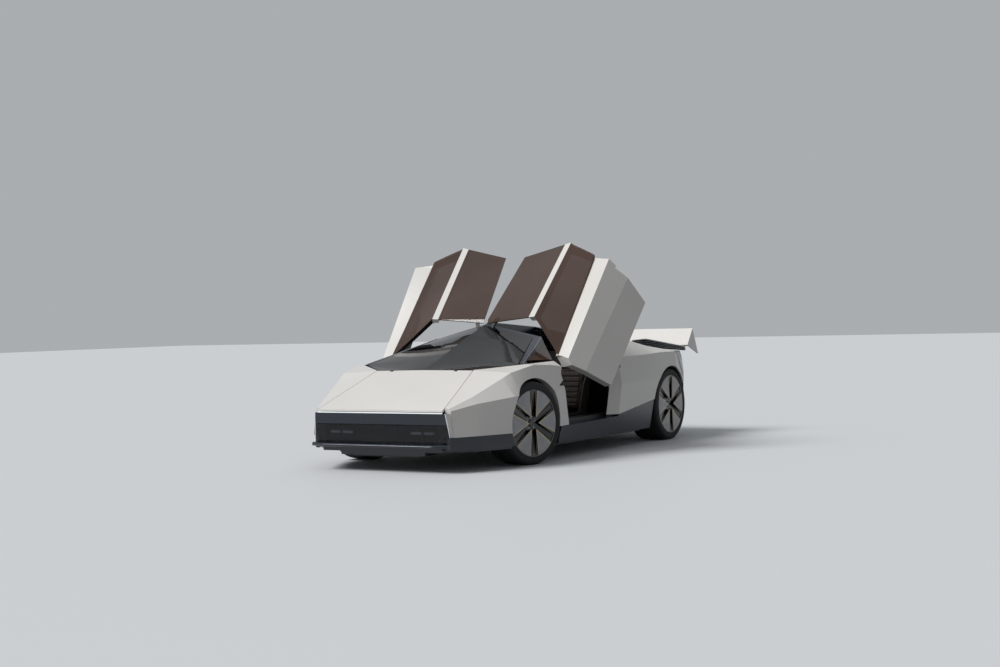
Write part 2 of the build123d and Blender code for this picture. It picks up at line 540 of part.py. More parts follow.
# The deck rests against the fenders by a flange below its edge.
with BuildPart() as deck_flange:
    add(body_outer.moved(Location((0, 0, -DECK_T + 1.0))))
    add(body_outer.moved(Location((0, 0, -DECK_T - 12.0))), mode=Mode.SUBTRACT)
    flange_out = [(x + 2 * SEAM - SEAT_GAP, y) for x, y in inner_edge]
    flange_in = [(x - LEDGE_W, y) for x, y in reversed(inner_edge)]
    add(plan_prism(flange_out[:-2] + flange_in[2:]), mode=Mode.INTERSECT)
side_line = [(DOOR_BELT_REAR_Y, 870.0), (478.0, 1040.0)]
roof_rear = [(0.0, ROOF_REAR_MID_Y + SHUT_GAP), (500.0, ROOF_REAR_END_Y + SHUT_GAP)]
with BuildPart() as house_back:
    add(house_outer)
    add(house_outer.moved(Location((0, 0, -DECK_T))), mode=Mode.SUBTRACT)
    add(house_inner, mode=Mode.SUBTRACT)
    back_left = roof_rear + [(764.0, 336.0), (774.0, 336.0), (774.0, 850.0)]
    add(plan_prism(back_left + [(-x, y) for x, y in reversed(back_left[1:])], 800.0), mode=Mode.INTERSECT)
    (low_y, low_z), (high_y, high_z) = side_line
    add(side_prism([(low_y + SHUT_GAP, low_z), (high_y + SHUT_GAP, high_z), (0.0, high_z), (0.0, low_z)]),
        mode=Mode.SUBTRACT)
with BuildPart() as strips:
    with Locations((0.0, 1440.0, 950.0)):
        with GridLocations(0.0, SLAT_PITCH, 1, 8):
            Box(1040.0, 46.0, 400.0)
with BuildPart() as slats:
    add(body_outer.moved(Location((0, 0, SLAT_H))))
    add(body_outer.moved(Location((0, 0, -4.0))), mode=Mode.SUBTRACT)
    add(strips.part, mode=Mode.INTERSECT)
with BuildPart() as rear_deck:
    add(deck_skin.part)
    add(house_back.part)
    add(slats.part)
    add(deck_flange.part)
    add(mirrored(deck_flange.part))
keep("rear_deck", rear_deck.part)

# ---------------------------------------------------------------- tail: bumper, lamp, diffuser, wing
PLATE_Z = 540.0             # number plate fixings in the tail
PLATE_SPAN = 480.0
PLATE_HOLE_R = 3.0
PLATE_DEPTH = 20.0
with BuildPart() as flanks:
    add(outside_deck(SEAM))
    add(mirrored(outside_deck(SEAM)))
with BuildPart() as tail_sides:
    add(body_shell.part)
    tail_front = [(y + SEAM, z) for y, z in FENDER_END]
    tail_rear = [(1693.0, 240.0), (TAIL_Y, 240.0), (TAIL_Y, 1100.0), (1470.0, 1100.0)]
    add(side_prism(tail_front + tail_rear), mode=Mode.INTERSECT)
    add(flanks.part, mode=Mode.INTERSECT)
with BuildPart() as rear_bumper:
    add(body_outer)
    add(block(-900.0, 900.0, TAIL_Y - 40.0, TAIL_Y, 330.0, 1000.0), mode=Mode.INTERSECT)
    add(tail_sides.part)
    add(block(-640.0, 640.0, TAIL_Y - 16.0, TAIL_Y + 10.0, 744.0, 772.0), mode=Mode.SUBTRACT)
    add(roller(-1200.0, 1200.0, AXLE_REAR_Y, REAR_ARCH_Z, REAR_ARCH_R), mode=Mode.SUBTRACT)
    with BuildSketch(Plane.XZ.offset(-TAIL_Y)):
        with Locations((0.0, PLATE_Z)):
            with GridLocations(PLATE_SPAN, 0.0, 2, 1):
                Circle(PLATE_HOLE_R)
    extrude(amount=PLATE_DEPTH, mode=Mode.SUBTRACT)
keep("rear_bumper", rear_bumper.part)

with BuildPart() as tail_lamp:
    with Locations((0.0, TAIL_Y - 7.5, 758.0)):
        Box(1274.0, 15.0, 27.4)
keep("tail_lamp", tail_lamp.part)

DIFFUSER_LOW_Z = FLOOR_TOP_Z + SEAT_GAP    # its front edge lies on the floor's rear end
with BuildPart() as diffuser:
    add(side_prism([(1788.0, DIFFUSER_LOW_Z), (1788.0, 168.0), (2290.0, 268.0), (DIFFUSER_Y, 250.0)],
                   -640.0, 640.0))
    with Locations((0.0, 2120.0, 195.0)):
        with GridLocations(230.0, 0.0, 5, 1):
            Box(8.0, 330.0, 84.0)
    add(block(-640.0, 640.0, 2180.0, TAIL_Y - 42.0, 240.0, 329.0))
keep("diffuser", diffuser.part)

WING_X = 900.0
WING_TOP = (2040.0, 1084.0)
WING_FRONT = (1907.0, 917.0)
WING_TIP = (2168.0, 823.0)
WING_T = 22.0
WING_STRUT = [(1960.0, 880.0), (1990.0, 1010.0), (2040.0, 1040.0), (2110.0, 880.0)]
WING_STRUT_X = 420.0        # the two struts, left and right of the centre line
STRUT_T = 18.0
PLATE_T = 14.0              # end plates
with BuildPart() as rear_wing:
    under_side = [(WING_TOP[0] + WING_T, WING_TOP[1] - 8.0), (WING_FRONT[0] + WING_T, WING_FRONT[1] - 12.0)]
    add(side_prism([WING_FRONT, WING_TOP] + under_side, -WING_X, WING_X))
    for side in (-1, 1):
        plate_mid = side * WING_X
        strut_mid = side * WING_STRUT_X
        add(side_prism([WING_FRONT, WING_TOP, WING_TIP], plate_mid - PLATE_T / 2, plate_mid + PLATE_T / 2))
        add(side_prism(WING_STRUT, strut_mid - STRUT_T / 2, strut_mid + STRUT_T / 2))
    add(body_outer.moved(Location((0, 0, SEAT_GAP))), mode=Mode.SUBTRACT)
keep("rear_wing", rear_wing.part)

# ---------------------------------------------------------------- wheel-house linings
LINER_WALL_Z = 590.0        # lower edge of the inner wall, above the suspension


def lining(y, z, radius, out_x):
    """Upper half of a lining tube with its inner wall above the suspension."""
    with BuildPart() as made:
        add(roller(LINER_IN_X, out_x, y, z, radius))
        add(roller(LINER_IN_X + LINER_T, out_x + 1.0, y, z, radius - LINER_T), mode=Mode.SUBTRACT)
        add(block(0.0, 1200.0, y - 500.0, y + 500.0, z + 5.0, z + 500.0), mode=Mode.INTERSECT)
        add(block(0.0, LINER_IN_X + LINER_T + 1.0, y - 300.0, y + 300.0, z, LINER_WALL_Z), mode=Mode.SUBTRACT)
    return made.part


with BuildPart() as front_lining:
    add(roller(FRONT_WALL_X, 1000.0, AXLE_FRONT_Y, TYRE_R, FRONT_LINER_R))
    add(roller(FRONT_WALL_X - 1.0, 1001.0, AXLE_FRONT_Y, FRONT_ARCH_Z, FRONT_ARCH_R), mode=Mode.SUBTRACT)
    add(block(0.0, 1200.0, AXLE_FRONT_Y - 500.0, AXLE_FRONT_Y + 500.0, TYRE_R + 5.0, TYRE_R + 500.0),
        mode=Mode.INTERSECT)
    add(lining(AXLE_FRONT_Y, TYRE_R, FRONT_LINER_R, FRONT_WALL_X + 2.0))
    add(body_inner.moved(Location((-SEAT_GAP, 0, 0))), mode=Mode.INTERSECT)
with BuildPart() as rear_lining:
    add(lining(AXLE_REAR_Y, REAR_ARCH_Z, REAR_ARCH_R - SEAT_GAP, 1000.0))
    add(body_outer.moved(Location((-LINER_IN, 0, 0))), mode=Mode.INTERSECT)
keep("wheel_linings", front_lining.part, rear_lining.part,
     mirrored(front_lining.part), mirrored(rear_lining.part))

# ---------------------------------------------------------------- wheels
SPOKES = 6
SPOKE_W = 44.0
HUB_R = 66.0
HUB_SET = 34.0              # how far the hub sits inside the outer face
AERO_GAP = 8.0
SHAFT_R = 29.95
BORE_R = 30.0
DISC_R = 195.0
DISC_T = 26.0
DISC_SET = 150.0            # brake disc behind the outer face


def rim(width, shaft_to):
    """Rim with its outer face at x=0, its axis along X and its hub shaft reaching in to -shaft_to."""
    with BuildPart() as made:
        add(roller(-width, 0.0, 0.0, 0.0, RIM_R))
        add(roller(-width - 1.0, 1.0, 0.0, 0.0, RIM_R - BARREL_WALL), mode=Mode.SUBTRACT)
        add(roller(-HUB_SET - 56.0, -HUB_SET, 0.0, 0.0, HUB_R))
        add(roller(-DISC_SET - DISC_T / 2, -HUB_SET - 50.0, 0.0, 0.0, HUB_R - 6.0))
        add(roller(-DISC_SET - DISC_T / 2, -DISC_SET + DISC_T / 2, 0.0, 0.0, DISC_R))
        add(roller(-shaft_to, -HUB_SET - 50.0, 0.0, 0.0, SHAFT_R))
        spoke_side = [(-HUB_SET - 40.0, 0.0), (-HUB_SET, 0.0), (-5.0, RIM_R - 6.0), (-38.0, RIM_R - 6.0)]
        spoke = plan_prism(spoke_side, -SPOKE_W / 2, SPOKE_W / 2)
        for i in range(SPOKES):
            add(spoke.rotate(Axis.X, i * 360.0 / SPOKES + 90.0))
    return made.part


def aero_plates():
    """Six flat sectors between the spokes, just inside the outer face, carried by small feet."""
    with BuildPart() as made:
        with BuildSketch(Plane.YZ.offset(-11.0)):
            Circle(RIM_R - BARREL_WALL - 1.0)
            with PolarLocations(0.0, SPOKES, start_angle=180.0 / SPOKES):
                with Locations((150.0, 0.0)):
                    Rectangle(300.0, SPOKE_W + 2 * AERO_GAP, mode=Mode.SUBTRACT)
        extrude(amount=8.0)
        with BuildSketch(Plane.YZ.offset(-11.0)):
            Circle(RIM_R - BARREL_WALL)
            Circle(RIM_R - BARREL_WALL - 14.0, mode=Mode.SUBTRACT)
        extrude(amount=5.0)
    return made.part


def tyre(width):
    """Low-profile tyre with rounded shoulders, on the same datum as the rim."""
    seat = RIM_R + 0.3
    with BuildPart() as made:
        with BuildSketch(Plane.XY):
            with BuildLine():
                Polyline((-width, seat), (-width - 6.0, seat + 34.0), (-width + 16.0, TYRE_R - 3.0),
                         (-width + 30.0, TYRE_R), (-30.0, TYRE_R), (-16.0, TYRE_R - 3.0),
                         (4.0, seat + 34.0), (0.0, seat), close=True)
            make_face()
        revolve(axis=Axis.X)
    return made.part


front_rim = rim(FRONT_TYRE_W, KINGPIN_IN + 22.0)
rear_rim_body = rim(REAR_TYRE_W, 235.0)
DRIVE_SHAFT_R = 16.0
with BuildPart() as rear_rim:
    add(rear_rim_body)
    add(roller(-(REAR_FACE_X - 192.0), -230.0, 0.0, 0.0, DRIVE_SHAFT_R))
plates = aero_plates()
front_tyre = tyre(FRONT_TYRE_W)
rear_tyre = tyre(REAR_TYRE_W)
to_left = Location((FRONT_FACE_X, AXLE_FRONT_Y, TYRE_R))
to_rear = Location((REAR_FACE_X, AXLE_REAR_Y, TYRE_R))
kingpin_x = FRONT_FACE_X - KINGPIN_IN


def steered(shape, side):
    """Turns a piece to the right about the steering axis of its side."""
    return shape.rotate(Axis((side * kingpin_x, AXLE_FRONT_Y, 0.0), (0.0, 0.0, 1.0)), -STEER_REST)


for name, piece in (("rim", front_rim), ("tyre", front_tyre)):
    fused = piece + plates if name == "rim" else piece
    straight = fused.moved(to_left)
    keep(f"{name}_front_left", steered(straight, 1))
    keep(f"{name}_front_right", steered(mirrored(straight), -1))
for name, piece in (("rim", rear_rim.part + plates), ("tyre", rear_tyre)):
    straight = piece.moved(to_rear)
    keep(f"{name}_rear_left", straight)
    keep(f"{name}_rear_right", mirrored(straight))

# ---------------------------------------------------------------- front knuckles and wishbones
ARM_UP = 170.0              # upper ball joint above the wheel centre
ARM_DOWN = 130.0            # lower ball joint below it
PIN_R = 12.0
EYE_R = 26.0
EYE_H = 24.0
PIN_PLAY = 0.08
TOWER_X = (270.0, 400.0)
with BuildPart() as knuckle:
    add(block(kingpin_x - 20.0, kingpin_x + 20.0, AXLE_FRONT_Y - 30.0, AXLE_FRONT_Y + 30.0,
              TYRE_R - ARM_DOWN + EYE_H / 2 + 2.0, TYRE_R + ARM_UP - EYE_H / 2 - 2.0))
    add(roller(kingpin_x - 20.0, kingpin_x + 24.0, AXLE_FRONT_Y, TYRE_R, 62.0))
    add(rod((kingpin_x, AXLE_FRONT_Y, TYRE_R - ARM_DOWN - 16.0),
            (kingpin_x, AXLE_FRONT_Y, TYRE_R + ARM_UP + 16.0), PIN_R))
    add(block(kingpin_x - 20.0, kingpin_x + 16.0, AXLE_FRONT_Y - 180.0, AXLE_FRONT_Y,
              TYRE_R - 30.0, TYRE_R + 30.0))
    add(block(kingpin_x + 4.0, kingpin_x + 76.0, AXLE_FRONT_Y - 236.0, AXLE_FRONT_Y - 150.0,
              TYRE_R - 62.0, TYRE_R + 62.0))
    disc_mid = FRONT_FACE_X - DISC_SET
    add(roller(disc_mid - DISC_T / 2 - 3.0, disc_mid + DISC_T / 2 + 3.0, AXLE_FRONT_Y, TYRE_R, DISC_R + 6.0),
        mode=Mode.SUBTRACT)
    add(roller(kingpin_x - 40.0, kingpin_x + 40.0, AXLE_FRONT_Y, TYRE_R, BORE_R), mode=Mode.SUBTRACT)
keep("knuckle_left", steered(knuckle.part, 1))
keep("knuckle_right", steered(mirrored(knuckle.part), -1))


def wishbone(y, z, x_in, x_out, spread):
    """Open triangle with an eye at its outer corner."""
    with BuildPart() as made:
        add(plan_prism([(x_in, y - spread), (x_in, y + spread), (x_out, y + 20.0), (x_out, y - 20.0)],
                       z - 9.0, z + 9.0))
        window = [(x_in + 30.0, y - spread + 40.0), (x_in + 30.0, y + spread - 40.0), (x_out - 90.0, y)]
        add(plan_prism(window, z - 12.0, z + 12.0), mode=Mode.SUBTRACT)
        with BuildSketch(Plane.XY.offset(z - EYE_H / 2)):
            with Locations((x_out, y)):
                Circle(EYE_R)
        extrude(amount=EYE_H)
    return made.part


with BuildPart() as front_suspension:
    add(block(TOWER_X[0], TOWER_X[1], AXLE_FRONT_Y - 150.0, AXLE_FRONT_Y + 150.0, FLOOR_TOP_Z,
              560.0))
    for z in (TYRE_R + ARM_UP, TYRE_R - ARM_DOWN):
        add(wishbone(AXLE_FRONT_Y, z, TOWER_X[1] - 5.0, kingpin_x, 140.0))
        with BuildSketch(Plane.XY.offset(z - EYE_H)):
            with Locations((kingpin_x, AXLE_FRONT_Y)):
                Circle(PIN_R + PIN_PLAY)
        extrude(amount=2 * EYE_H, mode=Mode.SUBTRACT)
keep("front_suspension", front_suspension.part, mirrored(front_suspension.part))

# ---------------------------------------------------------------- rear hub carriers, arms and frame
carrier_x = REAR_FACE_X - 190.0
with BuildPart() as rear_suspension:
    add(block(230.0, 290.0, 1100.0, 1620.0, FLOOR_TOP_Z, 240.0))
    for y in (AXLE_REAR_Y - 140.0, AXLE_REAR_Y + 140.0):
        add(block(230.0, 290.0, y - 30.0, y + 30.0, 200.0, 560.0))
    add(block(carrier_x - 20.0, carrier_x + 16.0, AXLE_REAR_Y - 32.0, AXLE_REAR_Y + 32.0,
              TYRE_R - ARM_DOWN, TYRE_R + ARM_UP))
    add(roller(carrier_x - 20.0, carrier_x + 16.0, AXLE_REAR_Y, TYRE_R, 70.0))
    add(roller(carrier_x - 60.0, carrier_x + 60.0, AXLE_REAR_Y, TYRE_R, BORE_R), mode=Mode.SUBTRACT)
    for z in (TYRE_R + ARM_UP, TYRE_R - ARM_DOWN):
        add(wishbone(AXLE_REAR_Y, z, 285.0, carrier_x, 160.0))
keep("rear_suspension", rear_suspension.part, mirrored(rear_suspension.part))

# ---------------------------------------------------------------- cabin: dashboard, steering wheel, seats
DASH_Y = TUB_FRONT_Y + 40.0 + SEAT_GAP      # it stands against the front bulkhead
with BuildPart() as dashboard:
    dash_top = [(-1490.0, 772.0), (-1490.0, 786.0), (-900.0, 812.0), (-660.0, 800.0), (-600.0, 770.0)]
    dash_under = [(-640.0, 640.0), (DASH_Y, 600.0), (DASH_Y, 761.0), (TUB_FRONT_Y, 761.0),
                  (TUB_FRONT_Y, 772.0)]
    add(side_prism(dash_top + dash_under, -815.0, 815.0))
    inside = [(row[DECK_X] - 26.0, row[0]) for row in BODY[3:7]]
    dash_left = inside + [(790.0, -560.0)]
    add(plan_prism([(0.0, -1520.0)] + dash_left + [(-x, y) for x, y in reversed(dash_left)]),
        mode=Mode.INTERSECT)
    add(block(-95.0, 95.0, -700.0, -560.0, 300.3, 700.0))
    # the lid's hinge pins turn in two lugs at the front of the cowl
    for side in (-1, 1):
        lug_low = side * LID_PIN_X - LUG_W / 2
        lug_side = [(LID_PIN[0] - 1.0, LID_PIN[1] - 5.5), (LID_PIN[0] + 4.0, LID_PIN[1] - 4.0),
                    (-1538.0, 784.0), (-1480.0, 785.0), (-1480.0, 773.0), (-1546.0, 773.0)]
        add(side_prism(lug_side, lug_low, lug_low + LUG_W))
        add(roller(lug_low, lug_low + LUG_W, LID_PIN[0], LID_PIN[1], LID_PIN_R + 2.2))
        add(roller(lug_low - 1.0, lug_low + LUG_W + 1.0, LID_PIN[0], LID_PIN[1], LID_PIN_R + EYE_PLAY),
            mode=Mode.SUBTRACT)
keep("dashboard", dashboard.part)

WHEEL_AT = (365.0, -520.0, 720.0)
WHEEL_R = 170.0
COLUMN_R = 24.0
column_dir = Vector(0.0, 1.0, 0.42).normalized()
rim_plane = Plane(origin=(WHEEL_AT[0] + WHEEL_R, WHEEL_AT[1], WHEEL_AT[2]), x_dir=(1, 0, 0),
                  z_dir=column_dir.cross(Vector(1, 0, 0)))
with BuildPart() as steering_wheel:
    add(rod(WHEEL_AT, tuple(Vector(*WHEEL_AT) - column_dir * 150.0), COLUMN_R))
    add(dashboard.part.moved(Location((0, SEAT_GAP, 0))), mode=Mode.SUBTRACT)
    with BuildSketch(rim_plane):
        Circle(15.0)
    revolve(axis=Axis(WHEEL_AT, tuple(column_dir)))
    with BuildSketch(Plane(origin=WHEEL_AT, x_dir=(1, 0, 0), z_dir=column_dir)):
        Rectangle(2 * WHEEL_R, 34.0)
        Circle(48.0)
    extrude(amount=-16.0)
keep("steering_wheel", steering_wheel.part)

SEAT_X = 370.0
SEAT_W = 480.0
SEAT_FOOT = (185.0, 255.0)      # where seat and backrest planes meet
BACK_LEAN = (0.324, 0.946)      # direction up the backrest
BACK_LONG = 690.0
SEAT_SIDE_T = 18.0              # thickness of the shell's side wings
PAD_GAP = 3.0                   # between a cushion and the wings
HEAD_HALF = 130.0               # half width of the headrest
pad_half = SEAT_W / 2 - SEAT_SIDE_T - PAD_GAP


def back_point(along, off):
    """Point of the backrest's side view: distance up the back, and forward of its plane."""
    return (SEAT_FOOT[0] + BACK_LEAN[0] * along - BACK_LEAN[1] * off,
            SEAT_FOOT[1] + BACK_LEAN[1] * along + BACK_LEAN[0] * off)


with BuildPart() as seat_shell:
    low = SEAT_X - SEAT_W / 2
    high = SEAT_X + SEAT_W / 2
    add(side_prism([(-270.0, 215.0), (-270.0, 262.0), (150.0, 240.0), SEAT_FOOT, back_point(BACK_LONG, 0.0),
                    back_point(BACK_LONG, -28.0), back_point(-30.0, -28.0), (-100.0, 190.0)], low, high))
    wing = [(-230.0, 230.0), (-200.0, 330.0), (110.0, 345.0), back_point(330.0, 90.0),
            back_point(420.0, 60.0), back_point(450.0, -10.0), back_point(0.0, -10.0)]
    add(side_prism(wing, low, low + SEAT_SIDE_T))
    add(side_prism(wing, high - SEAT_SIDE_T, high))
    add(block(low + 60.0, high - 60.0, -160.0, 160.0, FLOOR_TOP_Z, 225.0))
keep("seat_shells", seat_shell.part, mirrored(seat_shell.part))

with BuildPart() as seat_cushion:
    add(side_prism([(-262.0, 262.0), (-262.0, 335.0), (110.0, 318.0), (138.0, 241.0)],
                   SEAT_X - pad_half, SEAT_X + pad_half))
keep("seat_cushions", seat_cushion.part, mirrored(seat_cushion.part))

with BuildPart() as seat_back:
    back_side = [(95.0, 0.4), (95.0, 62.0), (520.0, 62.0), (520.0, 0.4)]
    head_side = [(530.0, 0.4), (530.0, 70.0), (BACK_LONG - 8.0, 58.0), (BACK_LONG - 8.0, 0.4)]
    add(side_prism([back_point(a, o) for a, o in back_side], SEAT_X - pad_half, SEAT_X + pad_half))
    add(side_prism([back_point(a, o) for a, o in head_side], SEAT_X - HEAD_HALF, SEAT_X + HEAD_HALF))
keep("seat_backs", seat_back.part, mirrored(seat_back.part))

# ---------------------------------------------------------------- doors, modelled shut and swung open
hinge = Axis(HINGE_TOP, tuple(hinge_dir))
belt_in = [(row[DECK_X] - 30.0, row[0]) for row in BODY if -1000.0 <= row[0] <= 850.0]
with BuildPart() as door_zone:
    add(body_shell.part)
    add(plan_prism([(1300.0, -1000.0)] + belt_in + [(1300.0, 850.0)]), mode=Mode.INTERSECT)
    add(side_prism(list(DOOR_FRONT) + [(192.0, 318.0), (500.0, 318.0), (500.0, 1000.0)], 0.0, 1300.0),
        mode=Mode.INTERSECT)
with BuildPart() as door_wall:
    add(door_zone.part)
    add(block(0.0, 1300.0, -1200.0, 600.0, 0.0, JAMB_Z), mode=Mode.INTERSECT)
    add(beyond(wall_foot, wall_top, wall_in), mode=Mode.INTERSECT)
with BuildPart() as door_top:
    add(door_zone.part)
    add(block(0.0, 1300.0, -1200.0, 600.0, JAMB_Z, 1200.0), mode=Mode.INTERSECT)
    add(beyond(shelf_out, shelf_up, shelf_in), mode=Mode.INTERSECT)
with BuildPart() as door_shell:
    add(door_wall.part)
    add(door_top.part)

WINDOW_REAR = side_line
cant_edge = [(row[CANT_X], row[0]) for row in HOUSE[2:]]
window_side = side_prism([(-1100.0, 800.0), (-1100.0, 1300.0), (478.0, 1300.0), WINDOW_REAR[1],
                          WINDOW_REAR[0], (300.0, 800.0)], 0.0, 1300.0)
outboard = plan_prism([WINDOW_FRONT[0]] + [(x + 1.0, y) for x, y in cant_edge[2:]]
                      + [(1100.0, 850.0), WINDOW_FRONT[1]])
with BuildPart() as side_window:
    add(glass_skin.part)
    add(window_side, mode=Mode.INTERSECT)
    add(outboard, mode=Mode.INTERSECT)
    add(body_outer.moved(Location((0, 0, 1.0))), mode=Mode.SUBTRACT)

front_cut = [(0.0, HEADER_MID_Y + ROOF_GAP), (HEADER_END_X, HEADER_END_Y + ROOF_GAP)]
rear_cut = [(500.0, ROOF_REAR_END_Y), (0.0, ROOF_REAR_MID_Y)]
with BuildPart() as cant_rail:
    add(frame_skin.part)
    rail_inner = [(x - RAIL_W, y) for x, y in reversed(cant_edge)]
    add(plan_prism(cant_edge + rail_inner), mode=Mode.INTERSECT)
    add(plan_prism(front_cut + rear_cut), mode=Mode.INTERSECT)

with BuildPart() as roof_glass:
    add(glass_skin.part)
    add(plan_prism([(SPINE_W / 2 + 8.0, -600.0)] + [(x - RAIL_W - 1.0, y) for x, y in cant_edge]
                   + [(SPINE_W / 2 + 8.0, 850.0)]), mode=Mode.INTERSECT)
    add(plan_prism(front_cut + rear_cut), mode=Mode.INTERSECT)

# Posts behind the side window's edges, and the hinge eye with its arm under the roof glass.
POST_W = 34.0
EYE_SIDE_GAP = 5.0
(low_y, low_z), (high_y, high_z) = WINDOW_REAR
with BuildPart() as bands:
    add(plan_prism(WINDOW_FRONT + [(x, y + POST_W) for x, y in reversed(WINDOW_FRONT)]))
    add(side_prism([(low_y - POST_W, low_z), (high_y - POST_W, high_z), (high_y, high_z), (low_y, low_z)],
                   0.0, 1300.0))
with BuildPart() as door_posts:
    add(house_mid.moved(Location((0, 0, -0.5))))
    add(house_inner, mode=Mode.SUBTRACT)
    add(window_side, mode=Mode.INTERSECT)
    add(bands.part, mode=Mode.INTERSECT)
    add(outboard, mode=Mode.INTERSECT)
    add(body_outer.moved(Location((0, 0, 1.0))), mode=Mode.SUBTRACT)
eye_start = HINGE_SLOT[0] + EYE_SIDE_GAP
eye_end = HINGE_SLOT[1] - EYE_SIDE_GAP
with BuildPart() as hinge_arm:
    arm_side = [(-1.0, 8.0), (44.0, 40.0), (120.0, 60.0), (120.0, 8.0), (45.0, 2.0), (0.0, -9.0)]
    add(hinge_slab(arm_side, eye_start, eye_end))
    add(house_mid.moved(Location((0, 0, -SEAT_GAP))), mode=Mode.INTERSECT)
    add(hinge_bar(HINGE_EYE_R, eye_start, eye_end))
    add(hinge_bar(HINGE_PIN_R + EYE_PLAY, eye_start - 1.0, eye_end + 1.0), mode=Mode.SUBTRACT)

for name, made in (("door_shell", door_shell), ("side_window", side_window), ("cant_rail", cant_rail),
                   ("roof_glass", roof_glass), ("door_posts", door_posts), ("door_hinge", hinge_arm)):
    pair(name, made.part.rotate(hinge, DOOR_OPEN))
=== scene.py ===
"""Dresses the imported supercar: finishes, wheels, lamps, glass edges, padded seats, floor, light and camera.

Metres.  +Z is up, the nose points along -Y and the car's left side is +X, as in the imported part.
"""
import bpy
import math
import numpy as np
from mathutils import Matrix, Vector


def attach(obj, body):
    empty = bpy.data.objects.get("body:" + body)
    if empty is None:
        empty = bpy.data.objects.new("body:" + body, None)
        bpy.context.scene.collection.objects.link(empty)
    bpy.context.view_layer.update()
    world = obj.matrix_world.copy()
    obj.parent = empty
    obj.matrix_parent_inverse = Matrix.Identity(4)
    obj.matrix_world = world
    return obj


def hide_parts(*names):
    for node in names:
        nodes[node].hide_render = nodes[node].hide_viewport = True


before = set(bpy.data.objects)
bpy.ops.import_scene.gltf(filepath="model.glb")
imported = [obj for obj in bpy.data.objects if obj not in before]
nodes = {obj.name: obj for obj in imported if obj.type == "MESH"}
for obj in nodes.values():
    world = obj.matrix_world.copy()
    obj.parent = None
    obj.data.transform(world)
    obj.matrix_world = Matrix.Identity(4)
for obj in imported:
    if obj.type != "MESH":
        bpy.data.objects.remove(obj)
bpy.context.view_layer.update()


# ---------------------------------------------------------------- painted panels
# Composite panels in a satin off-white two-coat paint with a thin clear lacquer.  It was sprayed and
# only lightly polished, so it gives soft, wide highlights and a very faint ripple.
def linear(hex_colour):
    """Linear RGBA of an sRGB hex colour."""
    parts = [int(hex_colour[i:i + 2], 16) / 255 for i in (1, 3, 5)]
    return tuple(p / 12.92 if p <= 0.04045 else ((p + 0.055) / 1.055) ** 2.4 for p in parts) + (1.0,)


def add_node(tree, kind, settings=None, values=None, links=None):
    """Adds a node, sets its properties and input values, and links its inputs to other outputs."""
    node = tree.nodes.new(kind)
    for name, value in (settings or {}).items():
        setattr(node, name, value)
    for name, value in (values or {}).items():
        node.inputs[name].default_value = value
    for name, output in (links or {}).items():
        tree.links.new(output, node.inputs[name])
    return node


def new_finish(name, colour, roughness, metallic=0.0, coat=0.0, coat_roughness=0.1, ior=1.5):
    """Starts a material from its shader's plain values and returns it with its tree and shader."""
    material = bpy.data.materials.new(name)
    material.use_nodes = True
    shader = material.node_tree.nodes["Principled BSDF"]
    shader.inputs["Base Color"].default_value = linear(colour)
    shader.inputs["Roughness"].default_value = roughness
    shader.inputs["Metallic"].default_value = metallic
    shader.inputs["Coat Weight"].default_value = coat
    shader.inputs["Coat Roughness"].default_value = coat_roughness
    shader.inputs["IOR"].default_value = ior
    return material, material.node_tree, shader


def blotched(tree, shader, dark, light, size_mm, low=0.35, high=0.65):
    """Colours the shader between two tints by a soft noise whose features are size_mm across."""
    place = add_node(tree, "ShaderNodeTexCoord")
    noise = add_node(tree, "ShaderNodeTexNoise", values={"Scale": 1000.0 / size_mm, "Detail": 3.0},
                     links={"Vector": place.outputs["Object"]})
    ramp = add_node(tree, "ShaderNodeValToRGB", links={"Fac": noise.outputs["Fac"]})
    ramp.color_ramp.elements[0].position = low
    ramp.color_ramp.elements[0].color = linear(dark)
    ramp.color_ramp.elements[1].position = high
    ramp.color_ramp.elements[1].color = linear(light)
    tree.links.new(ramp.outputs["Color"], shader.inputs["Base Color"])


def grained(tree, shader, size_mm, strength, depth_mm=0.2):
    """Raises a fine noise grain of the given size as bump."""
    place = add_node(tree, "ShaderNodeTexCoord")
    noise = add_node(tree, "ShaderNodeTexNoise", values={"Scale": 1000.0 / size_mm, "Detail": 2.0},
                     links={"Vector": place.outputs["Object"]})
    bump = add_node(tree, "ShaderNodeBump", values={"Strength": strength, "Distance": depth_mm / 1000.0},
                    links={"Height": noise.outputs["Fac"]})
    tree.links.new(bump.outputs["Normal"], shader.inputs["Normal"])


def dress(material, *names):
    """Gives CAD nodes a finish through their objects' material slots."""
    for name in names:
        piece = nodes[name]
        piece.data.materials.clear()
        piece.data.materials.append(material)


paint, tree, shader = new_finish("satin_white_lacquer", "#E6E2DC", 0.34, coat=0.35, coat_roughness=0.18)
blotched(tree, shader, "#E3DFD9", "#E9E5E0", 900.0)
grained(tree, shader, 60.0, 0.05, 0.3)
dress(paint, "front_fender_left", "front_fender_right", "front_lid", "rear_fender_left", "rear_fender_right",
      "rear_wing", "door_shell_left", "door_shell_right", "cant_rail_left", "cant_rail_right")

# ---------------------------------------------------------------- gloss black body parts
# Nose, splitter, sills, tail and screen frame are injection-moulded ABS in a blue-black gloss coat,
# which mirrors the pale room as slate blue.
gloss, tree, shader = new_finish("gloss_blue_black_coated_abs", "#0F1A29", 0.26, coat=0.2,
                                 coat_roughness=0.08)
blotched(tree, shader, "#0D1724", "#121F30", 500.0)
grained(tree, shader, 40.0, 0.03, 0.2)
dress(gloss, "front_fascia", "side_skirts", "rear_bumper", "diffuser", "screen_frame", "rear_deck")

